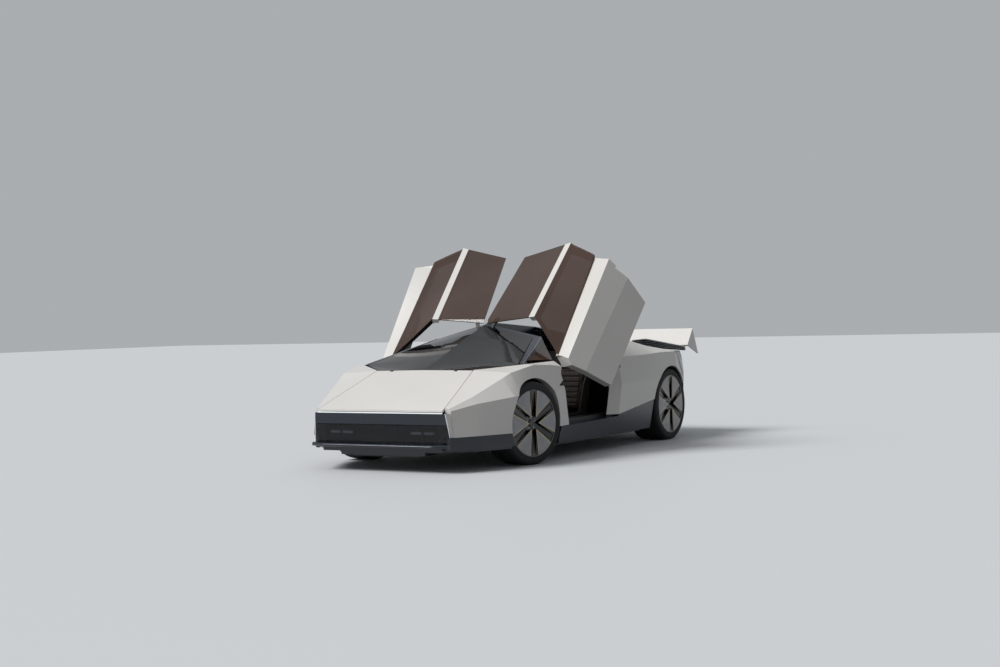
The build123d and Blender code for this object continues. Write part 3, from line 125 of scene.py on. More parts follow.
# ---------------------------------------------------------------- matt black mouldings
# Grille, wheel-house linings, luggage tub and door posts are moulded polypropylene with a fine spark-eroded
# grain, which leaves them dull and even.
matt, tree, shader = new_finish("grained_black_polypropylene", "#0B0C0E", 0.6)
blotched(tree, shader, "#090A0B", "#0E0F12", 120.0)
grained(tree, shader, 1.2, 0.35, 0.1)
dress(matt, "grille", "wheel_linings", "luggage_tub", "door_posts_left", "door_posts_right")

# ---------------------------------------------------------------- floor structure and running gear
# The tub is pressed carbon composite with faint flakes under a satin surface.  Battery case, drive unit, arms
# and carriers are sand-cast aluminium, a dull rough grey.  The door hinges are black powder-coated steel.
carbon, tree, shader = new_finish("satin_pressed_carbon_composite", "#141518", 0.42)
blotched(tree, shader, "#101113", "#1A1B1F", 12.0, 0.45, 0.55)
dress(carbon, "tub")
casting, tree, shader = new_finish("sand_cast_aluminium", "#8A8D90", 0.5, metallic=0.9)
blotched(tree, shader, "#7C7F83", "#93969A", 30.0)
grained(tree, shader, 2.0, 0.4, 0.15)
dress(casting, "battery_pack", "drive_unit", "knuckle_left", "knuckle_right", "front_suspension",
      "rear_suspension")
coated, tree, shader = new_finish("black_powder_coated_steel", "#0E0F12", 0.5)
blotched(tree, shader, "#0B0C0E", "#121316", 25.0)
dress(coated, "door_hinge_left", "door_hinge_right")

# ---------------------------------------------------------------- lamps
# The front light bar is an opal acrylic light guide that glows faintly and evenly.  The tail lamp is a
# glossy lens of red acrylic.  Both are clipped into their mouldings.
glow_for_lamp_and_painted_highlight, tree, shader = new_finish("opal_lamp_glow_and_painted_edge_highlight", "#EEF3F6", 0.25)
# The glow suits the lamp bar; on the nose's edge strips further on, the same glow is painted highlight.
shader.inputs["Emission Color"].default_value = linear("#E8F1F6")
shader.inputs["Emission Strength"].default_value = 0.35
blotched(tree, shader, "#E8EEF1", "#F3F7F9", 300.0)
dress(glow_for_lamp_and_painted_highlight, "light_bar")
red, tree, shader = new_finish("red_acrylic_lens", "#5A0A0C", 0.12)
blotched(tree, shader, "#4E080A", "#650C0F", 200.0)
dress(red, "tail_lamp")

# ---------------------------------------------------------------- glazing
# Side windows, quarter lights and roof are laminated glass with a bronze film, and the screen is darker:
# tinted glass, darkened further to a near-black, nearly opaque colour as painted shade for the cabin behind
# it.
# Both mirror the room and let little of the cabin show.  They are bonded in.
def glazing(name, colour, alpha, roughness=0.05):
    """Tinted glass as a gloss surface that lets a share of what is behind it through."""
    material, tree, shader = new_finish(name, colour, roughness, ior=1.52)
    shader.inputs["Alpha"].default_value = alpha
    return material, tree, shader


bronze, tree, shader = glazing("bronze_laminated_glass", "#503C33", 0.80)
blotched(tree, shader, "#4A372E", "#574239", 700.0)
dress(bronze, "side_window_left", "side_window_right", "roof_glass_left", "roof_glass_right", "quarter_glass")
# Painted shade: the screen's near-black colour and high alpha stand for the shaded cabin seen through it.
screen, tree, shader = glazing("laminated_glass_painted_dark_for_shade", "#050607", 0.92)
blotched(tree, shader, "#040506", "#070809", 700.0)
dress(screen, "windshield")

# ---------------------------------------------------------------- nose: lamps and vanes behind the opening
# Four projector lamps of clear polycarbonate sit between the black bars of the lower grille, with a row of
# thin upright cooling vanes behind them; both are clipped to the grille moulding.
def grid_quads(rows, columns, wrap_rows=False, wrap_columns=False):
    """Quads between neighbouring points of a grid, closed round either way if asked."""
    i = np.arange(rows if wrap_rows else rows - 1)[:, None]
    j = np.arange(columns if wrap_columns else columns - 1)[None, :]
    i_next = (i + 1) % rows
    j_next = (j + 1) % columns
    quads = [i * columns + j, i * columns + j_next, i_next * columns + j_next, i_next * columns + j]
    return np.stack(quads, -1).reshape(-1, 4)


def new_piece(name, points, faces, finish, body, slot, crease=35.0):
    """Closed mesh riding on a body, from points and index arrays; a negative volume turns its faces round."""
    points = np.asarray(points, float).reshape(-1, 3)
    volume = 0.0
    for group in faces:
        for k in range(1, group.shape[1] - 1):
            a, b, c = points[group[:, 0]], points[group[:, k]], points[group[:, k + 1]]
            volume += float(np.einsum("ij,ij->", a, np.cross(b, c)))
    if volume < 0.0:
        faces = [group[:, ::-1] for group in faces]
    mesh = bpy.data.meshes.new(name)
    mesh.from_pydata(points.tolist(), [], [face for group in faces for face in group.tolist()])
    mesh.polygons.foreach_set("use_smooth", [True] * len(mesh.polygons))
    mesh.set_sharp_from_angle(angle=math.radians(crease))
    mesh.materials.append(finish)
    piece = bpy.data.objects.new(name, mesh)
    bpy.context.scene.collection.objects.link(piece)
    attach(piece, body)
    return piece


def joined(shells):
    """One set of points and faces from several closed shells, given as (points, faces) pairs."""
    points, faces, start = [], [], 0
    for shell_points, shell_faces in shells:
        shell_points = np.asarray(shell_points, float).reshape(-1, 3)
        points.append(shell_points)
        faces += [group + start for group in shell_faces]
        start += len(shell_points)
    return np.concatenate(points), faces


def pebble(centre, half, power=5.0, steps=10):
    """Rounded block: the points of a cube's six gridded faces divided by their power norm, then stretched."""
    a, b = np.meshgrid(np.linspace(-1, 1, steps), np.linspace(-1, 1, steps), indexing="ij")
    one = np.ones_like(a)
    sides = [(a, b, one), (b, a, -one), (one, a, b), (-one, b, a), (b, one, a), (a, -one, b)]
    points = np.concatenate([np.stack(side, -1).reshape(-1, 3) for side in sides])
    points = points / (np.abs(points) ** power).sum(1, keepdims=True) ** (1.0 / power)
    quads = np.concatenate([grid_quads(steps, steps) + n * steps * steps for n in range(6)])
    points, index = np.unique(np.round(points, 6), axis=0, return_inverse=True)
    return np.asarray(centre) + points * np.asarray(half), [index.reshape(-1)[quads]]


def slab(front, back):
    """Closed plate between two grids of points of the same size, with its rim closed by quads."""
    rows, columns = front.shape[:2]
    count = rows * columns
    quads = grid_quads(rows, columns)
    index = np.arange(count).reshape(rows, columns)
    rim = np.concatenate([index[0, :], index[1:, -1], index[-1, -2::-1], index[-2:0:-1, 0]])
    after = np.roll(rim, -1)
    band = np.stack([rim, after, after + count, rim + count], -1)
    return np.concatenate([front.reshape(-1, 3), back.reshape(-1, 3)]), [quads[:, ::-1], quads + count, band]


def plate(x, y, z):
    """Box with its corners at the pairs of values x, y and z."""
    low = np.array([[(x[0], y[0], z[0]), (x[1], y[0], z[0])],
                    [(x[0], y[1], z[0]), (x[1], y[1], z[0])]], float)
    high = low + np.array([0.0, 0.0, z[1] - z[0]])
    return slab(low, high)


clear, tree, shader = new_finish("clear_moulded_polycarbonate", "#8E9AA6", 0.08, coat=0.6,
                                 coat_roughness=0.03)
blotched(tree, shader, "#7F8C99", "#9AA6B1", 25.0)
GRILLE_FACE_Y = -2.1835
LAMP_X = (-0.47, -0.345, 0.345, 0.47)
LAMP_Y = GRILLE_FACE_Y - 0.006
LAMP_Z = 0.3213
LAMP_HALF = (0.052, 0.009, 0.0115)
lamps = joined([pebble((lamp_x, LAMP_Y, LAMP_Z), LAMP_HALF) for lamp_x in LAMP_X])
new_piece("projector_lamps", *lamps, clear, "root", "light")

VANE_ROW_HALF = 0.540
VANE_PITCH = 0.040
VANE_T = 0.004
VANE_DEPTH = 0.008
VANE_LOW_Z = 0.222
VANE_TOP_Z = 0.380
vanes = [plate((vane_x - VANE_T / 2, vane_x + VANE_T / 2), (GRILLE_FACE_Y - VANE_DEPTH, GRILLE_FACE_Y),
               (VANE_LOW_Z, VANE_TOP_Z))
         for vane_x in np.arange(-VANE_ROW_HALF, VANE_ROW_HALF + 0.001, VANE_PITCH)]
new_piece("grille_vanes", *joined(vanes), matt, "root", "black_plastic")

# ---------------------------------------------------------------- smoked nose cover and painted edge highlights
# One moulded cover of smoked polycarbonate closes the lower half of the nose in front of lamps and vanes.
# It is glossy and dark, with the lamps just showing.  Glowing bars of opal acrylic down the fascia's sides
# are painted highlight: they stand for the paint's front edges catching the light.
smoked, tree, shader = glazing("smoked_gloss_polycarbonate", "#06080C", 0.42, 0.10)
blotched(tree, shader, "#05070A", "#080B10", 300.0)
COVER_LOW_Z = 0.2355
COVER_TOP_Z = 0.392
COVER_SIDE_GAP = 0.006
COVER_BACK = 0.0006                 # the fascia's face to the cover's back
COVER_EDGE = 0.0018                 # the fascia's face to the cover's rim
COVER_CROWN = 0.0042                # how much farther out the cover stands inside its rounded rim
COVER_RIM = 0.012                   # height of that rim along the top and the bottom
COVER_RIM_SIDE = 1.0 / 60.0         # the same at the two ends, as a share of the half width
FASCIA_FOOT = (-2.198, 0.290)       # lower end of the fascia's slope, as (y, z)
FASCIA_SLOPE = 0.030 / 0.192        # travel forward for each unit up the slope
FASCIA_Z = [0.165, 0.290, 0.490]    # foot, corner and head of the fascia, then its half width there
FASCIA_HALF = [0.640, 0.672, 0.650]


def fascia_y(z):
    """Front face of the fascia: upright below its foot, leaning forward above it."""
    return FASCIA_FOOT[0] - FASCIA_SLOPE * np.maximum(z - FASCIA_FOOT[1], 0.0)


def fascia_half(z):
    """Half width of the nose at a height, read straight between the fascia's three levels."""
    return np.interp(z, FASCIA_Z, FASCIA_HALF)


cover_z, across = np.meshgrid(np.linspace(COVER_LOW_Z, COVER_TOP_Z, 24), np.linspace(-1.0, 1.0, 61),
                              indexing="ij")
from_end = (1.0 - np.abs(across)) / COVER_RIM_SIDE
from_brim = np.minimum(cover_z - COVER_LOW_Z, COVER_TOP_Z - cover_z) / COVER_RIM
margin = np.clip(np.minimum(from_end, from_brim), 0.0, 1.0)
cover_x = across * (fascia_half(cover_z) - COVER_SIDE_GAP)
cover_back_y = fascia_y(cover_z) - COVER_BACK
cover_front_y = fascia_y(cover_z) - COVER_EDGE - COVER_CROWN * np.sqrt(margin)
new_piece("nose_cover", *slab(np.stack([cover_x, cover_front_y, cover_z], -1),
                              np.stack([cover_x, cover_back_y, cover_z], -1)), smoked, "root", "dark_gloss")


def bar_along(path, half, around=8):
    """Round bar of a half thickness along a path of points, with closed ends."""
    ahead = np.gradient(path, axis=0)
    ahead /= np.linalg.norm(ahead, axis=1, keepdims=True)
    first = np.cross(ahead, [0.31, 0.87, 0.38])
    first /= np.linalg.norm(first, axis=1, keepdims=True)
    second = np.cross(ahead, first)
    angle = np.linspace(0.0, 2.0 * math.pi, around, endpoint=False)
    points = (path[:, None, :] + half * np.cos(angle)[None, :, None] * first[:, None, :]
              + half * np.sin(angle)[None, :, None] * second[:, None, :])
    last = (len(path) - 1) * around
    ends = np.array([np.arange(around)[::-1], np.arange(around) + last])
    return points.reshape(-1, 3), [grid_quads(len(path), around, False, True), ends]


HIGHLIGHT_STRIP_Z = [0.290, 0.482]            # lower and upper end of a glowing strip of painted highlight, then its place across there
HIGHLIGHT_STRIP_X = [0.678, 0.6535]
HIGHLIGHT_STRIP_HALF = 0.0026
HIGHLIGHT_STRIP_PROUD = 0.0018
HIGHLIGHT_STRIP_FOOT_GAP = 0.002
# Painted highlight: these glowing strips stand for the light caught on the paint's front edges.
edge_z = np.linspace(HIGHLIGHT_STRIP_Z[1], HIGHLIGHT_STRIP_Z[0] + HIGHLIGHT_STRIP_FOOT_GAP, 16)
edge_x = np.interp(edge_z, HIGHLIGHT_STRIP_Z, HIGHLIGHT_STRIP_X)
highlight_bars = [bar_along(np.stack([side * edge_x, fascia_y(edge_z) - HIGHLIGHT_STRIP_PROUD, edge_z], 1), HIGHLIGHT_STRIP_HALF)
             for side in (-1.0, 1.0)]
new_piece("nose_edge_painted_highlights", *joined(highlight_bars), glow_for_lamp_and_painted_highlight, "root", "light")

# ---------------------------------------------------------------- painted nose corners
# A thin painted strip on each side carries the fender's colour forward over the fascia's edge to the glowing
# strip of painted edge highlight.  It is bonded to the fascia.
NOSE_TIP_Y = -2.230
NOSE_BEND_Y = -1.960
BOW_LINE = ((0.490, 0.650), (0.548, 0.790))     # height and half width at the nose's tip and at its bend
HEM_LINE = ((0.290, 0.672), (0.290, 0.820))
STRIP_LOW_Z = 0.2925
STRIP_TOP_Z = 0.4815
STRIP_BACK_Y = -2.1846
STRIP_PROUD = 0.0008
STRIP_INNER = 0.0003                # the fender's side to the strip's two faces
STRIP_OUTER = 0.0014
up, back = np.meshgrid(np.linspace(0.0, 1.0, 20), np.linspace(0.0, 1.0, 6), indexing="ij")
strip_z = STRIP_LOW_Z + (STRIP_TOP_Z - STRIP_LOW_Z) * up
strip_front_y = fascia_y(strip_z) - STRIP_PROUD
strip_y = strip_front_y + (STRIP_BACK_Y - strip_front_y) * back
share = (strip_y - NOSE_TIP_Y) / (NOSE_BEND_Y - NOSE_TIP_Y)
(bow_z, bow_x), (hem_z, hem_x) = [[line[0][k] * (1 - share) + line[1][k] * share for k in (0, 1)]
                                  for line in (BOW_LINE, HEM_LINE)]
side_x = hem_x + (bow_x - hem_x) * (strip_z - hem_z) / (bow_z - hem_z)
corner_strips = [slab(np.stack([side * (side_x + STRIP_OUTER), strip_y, strip_z], -1),
                      np.stack([side * (side_x + STRIP_INNER), strip_y, strip_z], -1))
                 for side in (-1.0, 1.0)]
new_piece("nose_corner_strips", *joined(corner_strips), paint, "root", "paint")

# ---------------------------------------------------------------- nose blade, side lips and tray
# A moulded blade with a sharp leading edge crosses the nose below the cover, and lips carry its line back
# under the painted sides to the front wheels.  A tray set back behind the blade joins them to the floor.
BLADE_LOW_Z = 0.203
BLADE_TOP_Z = 0.235
BLADE_BACK_Y = -2.1983
BLADE_TIP_X = [0.550, 0.662, 0.676]     # stations of the leading edge out to the blade's end, then its place
BLADE_TIP_Y = [-2.300, -2.2545, -2.249]
BLADE_RIM = [(1.0, 0.0), (0.30, 0.0), (0.10, 0.003), (0.02, 0.010), (0.0, 0.0155)]  # share of depth, drop
RISE_SHARE = 0.95                       # how much the underside rises toward the edge for the top's drop
TRAY_LOW_Z = 0.165
TRAY_TOP_Z = 0.187
TRAY_FRONT_Y = -2.1837
TRAY_Y = [TRAY_FRONT_Y, -1.980, -1.800, -1.650]     # stations of the tray's outer edge, then its half width
TRAY_HALF = [0.520, 0.790, 0.868, 0.925]
TRAY_BACK_Y = -1.654
TRAY_NOTCH = ([-2.141, -2.139], [0.0, 0.500])       # behind its front bar the tray starts off the middle
KEEL_HALF = 0.420
KEEL_BACK_Y = -2.140
KEEL_LOW_Z = 0.134
KEEL_OVERLAP = 0.002                    # how far the keel's head reaches up into the tray
LIP_LOW_Z = 0.185
LIP_TOP_Z = 0.2897
LIP_Y = [-2.200, -1.960, -1.800, -1.650]            # stations of the lip's outer face, then its half width
LIP_HALF = [0.676, 0.817, 0.884, 0.948]
LIP_T = 0.036
LIP_TUCK = 0.004                        # how far the lip's foot rolls inward
ARCH_Y = -1.290                         # front wheel opening: centre along the car, its height, radius
ARCH_Z = 0.342
ARCH_R = 0.384
ARCH_GAP = 0.002


def level_row(x, y, z):
    """Row of points at one height."""
    return np.stack([x, y, np.full_like(x, z)], -1)


blade_x = BLADE_TIP_X[-1] * np.sin(np.linspace(-0.5, 0.5, 91) * math.pi)
tip_y = np.interp(np.abs(blade_x), BLADE_TIP_X, BLADE_TIP_Y)
depth = BLADE_BACK_Y - tip_y
blade_top = np.stack([level_row(blade_x, tip_y + depth * back_share, BLADE_TOP_Z - drop)
                      for back_share, drop in BLADE_RIM])
blade_low = np.stack([level_row(blade_x, tip_y + depth * back_share, BLADE_LOW_Z + drop * RISE_SHARE)
                      for back_share, drop in BLADE_RIM])
splitter_shells = [slab(blade_top, blade_low),
                   plate((-KEEL_HALF, KEEL_HALF), (TRAY_FRONT_Y, KEEL_BACK_Y),
                         (KEEL_LOW_Z, TRAY_LOW_Z + KEEL_OVERLAP))]
for side in (-1.0, 1.0):
    tray_y = np.linspace(TRAY_FRONT_Y, TRAY_BACK_Y, 40)[:, None]
    tray_out = np.interp(tray_y, TRAY_Y, TRAY_HALF)
    tray_in = np.interp(tray_y, *TRAY_NOTCH)
    tray_x = side * (tray_in + (tray_out - tray_in) * np.linspace(0.0, 1.0, 7)[None, :])
    tray_y = np.broadcast_to(tray_y, tray_x.shape)
    splitter_shells.append(slab(level_row(tray_x, tray_y, TRAY_TOP_Z), level_row(tray_x, tray_y, TRAY_LOW_Z)))
    up, back = np.meshgrid(np.linspace(0.0, 1.0, 12), np.linspace(0.0, 1.0, 44), indexing="ij")
    lip_z = LIP_LOW_Z + (LIP_TOP_Z - LIP_LOW_Z) * up
    end_y = ARCH_Y - np.sqrt(ARCH_R ** 2 - (ARCH_Z - lip_z) ** 2) - ARCH_GAP
    lip_y = LIP_Y[0] + (end_y - LIP_Y[0]) * back
    lip_x = np.interp(lip_y, LIP_Y, LIP_HALF) - LIP_TUCK * np.exp(-up * 9.0)
    splitter_shells.append(slab(np.stack([side * lip_x, lip_y, lip_z], -1),
                                np.stack([side * (lip_x - LIP_T), lip_y, lip_z], -1)))
splitter = new_piece("nose_blade_lips_and_tray", *joined(splitter_shells), gloss, "root", "dark_gloss")
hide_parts("splitter")

# ---------------------------------------------------------------- screen pillar trims as painted highlights
# A slim round trim of satin anodised aluminium runs up each screen pillar, on the crease between screen and
# side glass.  It is bonded on and draws a thin pale line, a painted highlight for the light caught along the
# pillar's edge.
aluminium_and_pillar_highlight, tree, shader = new_finish("satin_aluminium_and_painted_pillar_highlight", "#C4C6C8", 0.3, metallic=1.0)
blotched(tree, shader, "#BABCBF", "#CCCED0", 40.0)
PILLAR_SHARE = [0.0, 0.58, 1.0]
PILLAR_POINTS = np.array([(0.8130, -1.2500, 0.8505), (0.6610, -0.7790, 0.9755), (0.5560, -0.4900, 1.0545)])
PILLAR_HIGHLIGHT_HALF = 0.0030
# Painted highlight: the pale bars stand for the light caught on each pillar's edge; the slats below share the
# finish.
line = np.linspace(0.0, 1.0, 24)
pillar_highlight_path = np.stack([np.interp(line, PILLAR_SHARE, PILLAR_POINTS[:, axis]) for axis in range(3)], 1)
pillar_highlight_bars = [bar_along(pillar_highlight_path * np.array([side, 1.0, 1.0]), PILLAR_HIGHLIGHT_HALF) for side in (-1.0, 1.0)]
new_piece("screen_pillar_painted_highlights", *joined(pillar_highlight_bars), aluminium_and_pillar_highlight, "root", "trim")

# ---------------------------------------------------------------- slots behind the front wheels
# A black insert closes each pocket in the fender, and a red acrylic blade along its upper edge reflects at
# night.  Insert and blade are bonded to the pocket's floor.
SLOT_FLOOR_X = 0.9003
INSERT_T = 0.022
INSERT_SIDE = [[(-0.902, 0.643), (-0.902, 0.650)], [(-0.837, 0.643), (-0.851, 0.688)]]      # (y, z) corners
REFLECTOR_IN_X = SLOT_FLOOR_X + 0.0222
REFLECTOR_OUT_X = SLOT_FLOOR_X + 0.050
REFLECTOR_SIDE = [[(-0.890, 0.6520), (-0.890, 0.6570)], [(-0.848, 0.6650), (-0.851, 0.6830)]]


def side_blocks(corners, inner_x, outer_x):
    """A block on each side of the car: its side view's corners carried from an inner to an outer place."""
    corners = np.array(corners)
    faces = [np.concatenate([np.full((2, 2, 1), x), corners], -1) for x in (inner_x, outer_x)]
    return joined([slab(*(face * np.array([side, 1.0, 1.0]) for face in faces)) for side in (-1.0, 1.0)])


new_piece("slot_inserts", *side_blocks(INSERT_SIDE, SLOT_FLOOR_X, SLOT_FLOOR_X + INSERT_T), matt, "root",
          "black_plastic")
new_piece("slot_reflector_blades", *side_blocks(REFLECTOR_SIDE, REFLECTOR_IN_X, REFLECTOR_OUT_X), red, "root",
          "tail_light")

# ---------------------------------------------------------------- slatted vents under the rear wing
# On each side a black moulded vent panel closes the gap between the deck and the wing, with four slim
# aluminium slats across it.  Both are clipped to the rear deck just ahead of the wing.
VENT_X = [0.300, 0.455, 0.896]      # stations across, then the panel's foot and head there
VENT_FOOT_Z = [0.912, 0.894, 0.862]
VENT_HEAD_Z = [0.975, 0.988, 0.906]
VENT_Y = 1.868
VENT_T = 0.008
SLAT_SHARES = (0.30, 0.52, 0.74, 0.94)      # each slat's place from the panel's foot to its head
SLAT_DEPTH = 0.014
SLAT_SINK = 0.002                   # how far a slat's root sits in the panel
SLAT_DROP = 0.004                   # how much lower its front edge hangs
SLAT_T = 0.004
vent_shells = []
slat_shells = []
across = np.linspace(VENT_X[0], VENT_X[2], 30)
foot_z = np.interp(across, VENT_X, VENT_FOOT_Z)
head_z = np.interp(across, VENT_X, VENT_HEAD_Z)
for side in (-1.0, 1.0):
    panel = np.stack([np.stack([side * across, np.full_like(across, VENT_Y), edge_z], 1)
                      for edge_z in (foot_z, head_z)])
    vent_shells.append(slab(panel, panel + np.array([0.0, VENT_T, 0.0])))
    for share in SLAT_SHARES:
        slat_z = foot_z + (head_z - foot_z) * share
        slat = np.stack([np.stack([side * across, np.full_like(across, slat_y), slat_z - drop], 1)
                         for slat_y, drop in ((VENT_Y - SLAT_DEPTH, SLAT_DROP), (VENT_Y + SLAT_SINK, 0.0))])
        slat_shells.append(slab(slat, slat + np.array([0.0, 0.0, SLAT_T])))
new_piece("wing_vents", *joined(vent_shells), matt, "root", "black_plastic")
new_piece("wing_vent_slats", *joined(slat_shells), aluminium_and_pillar_highlight, "root", "trim")

# ---------------------------------------------------------------- rims
# Six-spoke rims of cast aluminium in gloss black paint, which gives small sharp highlights.  They are bolted
# to the hubs and carry the pieces of the next sections.
rim_black, tree, shader = new_finish("gloss_black_cast_rim", "#0A0B0D", 0.22, coat=0.5)
blotched(tree, shader, "#090A0B", "#0D0F11", 90.0)
dress(rim_black, "rim_front_left", "rim_front_right", "rim_rear_left", "rim_rear_right")

# ---------------------------------------------------------------- tyres
# Low-profile tyres of vulcanised rubber, dull and nearly black: bulged sidewalls with a rim protector, four
# drainage grooves and slanted sipes.  They are held on the rims by air pressure.
rubber, tree, shader = new_finish("vulcanised_tyre_rubber", "#0B0C0D", 0.78)
blotched(tree, shader, "#090A0B", "#0E0F10", 60.0)
grained(tree, shader, 3.0, 0.3, 0.2)
AXLE_FRONT_Y = -1.290
AXLE_REAR_Y = 1.350
TYRE_R = 0.350
KINGPIN_X = 0.760
STEER_REST = math.radians(-12.0)
CORNERS = {  # side, axle, outer face, tyre width, angle it stands at
    "front_left": (1.0, AXLE_FRONT_Y, 0.950, 0.255, STEER_REST),
    "front_right": (-1.0, AXLE_FRONT_Y, 0.950, 0.255, STEER_REST),
    "rear_left": (1.0, AXLE_REAR_Y, 0.962, 0.305, 0.0),
    "rear_right": (-1.0, AXLE_REAR_Y, 0.962, 0.305, 0.0),
}


def on_wheel(points, corner):
    """Points given out from the wheel's face, along the car and up from the hub, set on one corner of it."""
    side, axle_y, face_x, width, turn = CORNERS[corner]
    pin = side * KINGPIN_X
    x = side * (face_x + points[:, 0]) - pin
    y = points[:, 1]
    return np.stack([pin + x * math.cos(turn) - y * math.sin(turn),
                     axle_y + x * math.sin(turn) + y * math.cos(turn),
                     TYRE_R + points[:, 2]], 1)


def turned(profile, around, cut=None):
    """Closed (out, radius) profile carried round the wheel's axis; cut lowers the radius point by point."""
    angle = np.linspace(0.0, 2.0 * math.pi, around, endpoint=False)[:, None]
    radius = np.broadcast_to(profile[None, :, 1], (around, len(profile)))
    if cut is not None:
        radius = radius - cut
    out = np.broadcast_to(profile[None, :, 0], radius.shape)
    points = np.stack([out, radius * np.cos(angle), radius * np.sin(angle)], -1)
    return points.reshape(-1, 3), [grid_quads(around, len(profile), True, True)]


SIDEWALL_R = np.array([0.2826, 0.2855, 0.2875, 0.2900, 0.2925, 0.3000, 0.3080, 0.3160, 0.3240, 0.3320, 0.3390,
                       0.3445, 0.3475])
SIDEWALL_OUT = np.array([-0.0010, 0.0012, 0.0032, 0.0032, 0.0010, 0.0028, 0.0037, 0.0040, 0.0033, 0.0008,
                         -0.0040, -0.0095, -0.0165])
CROWN_DROP = 0.0012
SHOULDER = 0.022            # width of each shoulder, outside which the sidewalls begin
GROOVE_SHARES = np.array([0.24, 0.42, 0.58, 0.76])      # the grooves' places across the tyre's width
GROOVE_HALF = 0.0045
GROOVE_DEPTH = 0.0070
GROOVE_WALL = 0.0006        # how far a groove's wall leans over its depth
RIB_MARGIN = 0.010          # from a rib's edge to its first point
SIPE_DEPTH = 0.0035
SIPE_SHIFT_PITCH = 0.018    # the sipes move on by a step for each such width
TYRE_STEPS = 288            # 72 sipes round the tyre, one step in four cut away


def tyre_shell(width):
    """Tyre: sidewall, crown with grooves, mirrored sidewall; each rib's sipes are shifted to slant them."""
    grooves = GROOVE_SHARES * width
    walls = np.array([-GROOVE_HALF, -GROOVE_HALF + GROOVE_WALL, GROOVE_HALF - GROOVE_WALL, GROOVE_HALF])
    ribs = np.concatenate([[SHOULDER], grooves, [width - SHOULDER]])
    between = np.concatenate([np.linspace(a + RIB_MARGIN, b - RIB_MARGIN, 4) for a, b in zip(ribs, ribs[1:])])
    across = np.sort(np.concatenate([(grooves[:, None] + walls).reshape(-1), between]))
    in_groove = (np.abs(across[:, None] - grooves[None, :]) < GROOVE_HALF - GROOVE_WALL / 2.0).any(1)
    crown = TYRE_R - CROWN_DROP * (2.0 * across / width - 1.0) ** 2 - GROOVE_DEPTH * in_groove
    profile = np.concatenate([
        np.stack([SIDEWALL_OUT, SIDEWALL_R], 1), np.stack([-across, crown], 1),
        np.stack([-width - SIDEWALL_OUT, SIDEWALL_R], 1)[::-1]])
    step = np.arange(TYRE_STEPS)[:, None]
    sipe = (step + np.round(across / SIPE_SHIFT_PITCH).astype(int)[None, :]) % 4 == 0
    ridge = np.zeros((TYRE_STEPS, len(profile)))
    first = len(SIDEWALL_R)
    ridge[:, first:first + len(across)] = SIPE_DEPTH * (sipe & ~in_groove[None, :])
    return turned(profile, TYRE_STEPS, ridge)


for corner, (_, _, _, width, _) in CORNERS.items():
    shell, faces = tyre_shell(width)
    tyre = new_piece(f"tyre_{corner}_treaded", on_wheel(shell, corner), faces, rubber, f"wheel_{corner}",
                     "tyre")
    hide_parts(f"tyre_{corner}")

# ---------------------------------------------------------------- aero plates on the rims
# Each rim carries six flat light-grey plates between its spokes, pressed from painted aluminium, with a
# bright champagne-coloured bead along both straight edges.  They are clipped over the rim's face.
silver, tree, shader = new_finish("satin_grey_painted_aluminium", "#A9A9AC", 0.38, coat=0.25,
                                  coat_roughness=0.2)
blotched(tree, shader, "#A2A2A6", "#B0B0B2", 60.0)
grained(tree, shader, 8.0, 0.06, 0.1)
champagne, tree, shader = new_finish("champagne_anodised_aluminium", "#C9B58F", 0.28, metallic=1.0)
blotched(tree, shader, "#BFA982", "#D3C09B", 20.0)
SPOKES = 6
POINT_R = 0.060             # from the hub's centre to a plate's point
SPOKE_HALF_ANGLE = math.radians(10.5)       # half the angle that a spoke covers at the plates' arc
PLATE_R = 0.276
PLATE_LOW = -0.0027
PLATE_TOP = 0.0026
PLATE_BEVEL = 0.0012
PLATE_FLANGE_R = 0.270      # from here out a plate rests on the rim's flange
PLATE_FLANGE_LOW = 0.0003
PLATE_MARGIN = 0.014        # width of the border that climbs to a plate's slight dome, then its height there
PLATE_MARGIN_RISE = 0.0004
PLATE_DOME_RISE = 0.0006
BEAD_OUT = 0.0006           # how far a bead stands past the plate's edge, and reaches in over it
BEAD_IN = 0.0030
BEAD_LOW = PLATE_TOP - 0.0024
BEAD_TOP = PLATE_TOP + 0.0009
HALF_SECTOR = math.pi / SPOKES


def sector_edge(inset):
    """Straight edge of a sector from its point out to its arc, as (along, across), shifted in by an inset."""
    end_angle = HALF_SECTOR - SPOKE_HALF_ANGLE
    end = PLATE_R * np.array([math.cos(end_angle), math.sin(end_angle)])
    lean = math.atan2(end[1], end[0] - POINT_R)
    start = POINT_R + inset / math.sin(lean)
    outer_r = PLATE_R - inset
    reach = -start * math.cos(lean) + math.sqrt(outer_r ** 2 - (start * math.sin(lean)) ** 2)
    run = np.linspace(0.0, reach, 9)
    return np.stack([start + run * math.cos(lean), run * math.sin(lean)], 1)


def sector_outline(inset):
    """Closed outline of a sector: one edge out, the arc across, the other edge back to the point."""
    edge = sector_edge(inset)
    end = math.atan2(edge[-1, 1], edge[-1, 0])
    bow = np.linspace(end, -end, 16)[1:-1]
    arc = (PLATE_R - inset) * np.stack([np.cos(bow), np.sin(bow)], 1)
    return np.concatenate([edge, arc, (edge * (1.0, -1.0))[:0:-1]])


def standing(flat, out):
    """Points out from the face over a flat outline."""
    return np.concatenate([np.broadcast_to(np.asarray(out, float).reshape(-1, 1), (len(flat), 1)), flat], 1)


